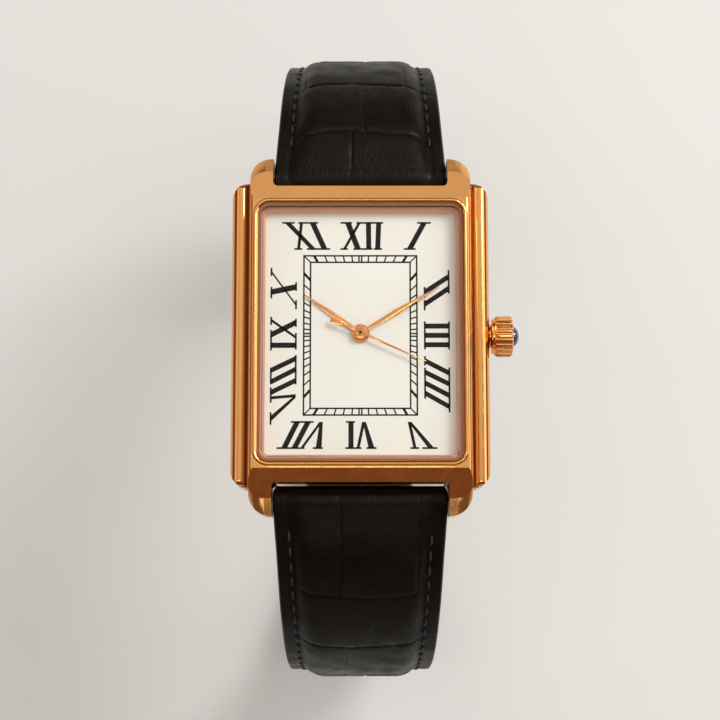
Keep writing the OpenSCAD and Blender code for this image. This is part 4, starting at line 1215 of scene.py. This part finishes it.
class WATCH_OT_buckle(bpy.types.Operator):
    """Buckle frame and tongue"""

    bl_idname = "watch.buckle"
    bl_label = "Buckle"

    def execute(self, context):
        gold = polished_metal("buckle gold", context.scene.watch_looks.gold, 0.12)
        dressed("buckle_frame", "buckle_hoop", gold, 0.32, segments=4)
        dressed("buckle_tongue", "buckle_pin", gold, 0.2)
        return {"FINISHED"}


class WATCH_OT_stage(bpy.types.Operator):
    """Floor, studio light and camera"""

    bl_idname = "watch.stage"
    bl_label = "Stage"

    def execute(self, context):
        looks = context.scene.watch_looks
        scene = context.scene
        self.lay_floor(looks.floor)
        self.light_world(scene)
        for lamp in LAMPS:
            self.hang_lamp(*lamp)
        self.place_camera(scene, looks.view_distance)
        scene.view_settings.view_transform = "Standard"
        return {"FINISHED"}

    def lay_floor(self, color):
        deselect()
        bpy.ops.mesh.primitive_circle_add(vertices=96, radius=FLOOR_R, fill_type="NGON")
        floor = bpy.context.object
        floor.name = "floor"
        floor.data.transform(Matrix.Translation((0, 0, CAD_BOX[0].z - FLOOR_GAP)))
        paint = Finish("plain floor", color, roughness=0.7)
        paint.set("Base Color", paint.mixed(paint.noise(6.0), toned(color, 0.985), color))
        painted(floor, paint)

    def light_world(self, scene):
        """Even pale surroundings. Metal mirrors a pale ceiling above dark and warm sides instead."""
        world = bpy.data.worlds.new("studio")
        scene.world = world
        world.use_nodes = True
        sky = Nodes(world.node_tree)
        place = sky.node("ShaderNodeTexCoord", output="Generated")
        lean = sky.node("ShaderNodeVectorMath", {"operation": "DOT_PRODUCT"}, [place, CEILING], "Value")
        mirrored = sky.node("ShaderNodeValToRGB", {"stops": MIRRORED}, [lean])
        glossy = sky.node("ShaderNodeLightPath", output="Is Glossy Ray")
        sky.feed(sky.tree.nodes["Background"].inputs["Color"], sky.mixed(glossy, PALE, mirrored))

    def hang_lamp(self, name, place, size, power):
        """Soft lamp that faces the watch."""
        data = bpy.data.lights.new(name, "AREA")
        data.shape = "RECTANGLE"
        data.size, data.size_y = size
        data.energy = power
        lamp = placed(name, data)
        lamp.location = place
        lamp.rotation_euler = (-Vector(place)).to_track_quat("-Z", "Y").to_euler()

    def place_camera(self, scene, distance):
        """Camera at the viewing angle: nearly overhead, a little from the 6 o'clock side."""
        side, height = math.radians(VIEW_SIDE), math.radians(VIEW_HEIGHT)
        away = Vector((
            math.sin(side) * math.cos(height), -math.cos(side) * math.cos(height), math.sin(height)
        ))
        data = bpy.data.cameras.new("camera")
        data.sensor_fit = "HORIZONTAL"
        data.angle = math.radians(LENS)
        data.clip_start = 0.005
        camera = placed("camera", data)
        camera.location = Vector(WATCH_POINT) * MM + away * distance
        roll = Quaternion((0, 0, 1), math.radians(VIEW_ROLL))
        camera.rotation_euler = ((-away).to_track_quat("-Z", "Y") @ roll).to_euler()
        scene.camera = camera


PIECES = (
    WATCH_OT_case, WATCH_OT_crystal, WATCH_OT_dial, WATCH_OT_hands, WATCH_OT_crown, WATCH_OT_back,
    WATCH_OT_movement, WATCH_OT_strap, WATCH_OT_keepers, WATCH_OT_buckle, WATCH_OT_stage,
)


class WATCH_PT_pieces(bpy.types.Panel):
    """Panel with the watch's settings and the pieces in the order in which they are built"""

    bl_idname = "WATCH_PT_pieces"
    bl_label = "Rectangular wristwatch"
    bl_space_type = "VIEW_3D"
    bl_region_type = "UI"
    bl_category = "Watch"

    def draw(self, context):
        looks = context.scene.watch_looks
        for name in looks.__annotations__:
            self.layout.prop(looks, name)
        for piece in PIECES:
            self.layout.operator(piece.bl_idname)


CLASSES = (WatchLooks, *PIECES, WATCH_PT_pieces)


def register():
    for cls in CLASSES:
        bpy.utils.register_class(cls)
    bpy.types.Scene.watch_looks = PointerProperty(type=WatchLooks)


def unregister():
    del bpy.types.Scene.watch_looks
    for cls in reversed(CLASSES):
        bpy.utils.unregister_class(cls)


def main():
    """Builds every piece."""
    register()
    for piece in PIECES:
        getattr(bpy.ops.watch, piece.bl_idname.split(".")[1])()


if __name__ == "__main__":
    main()
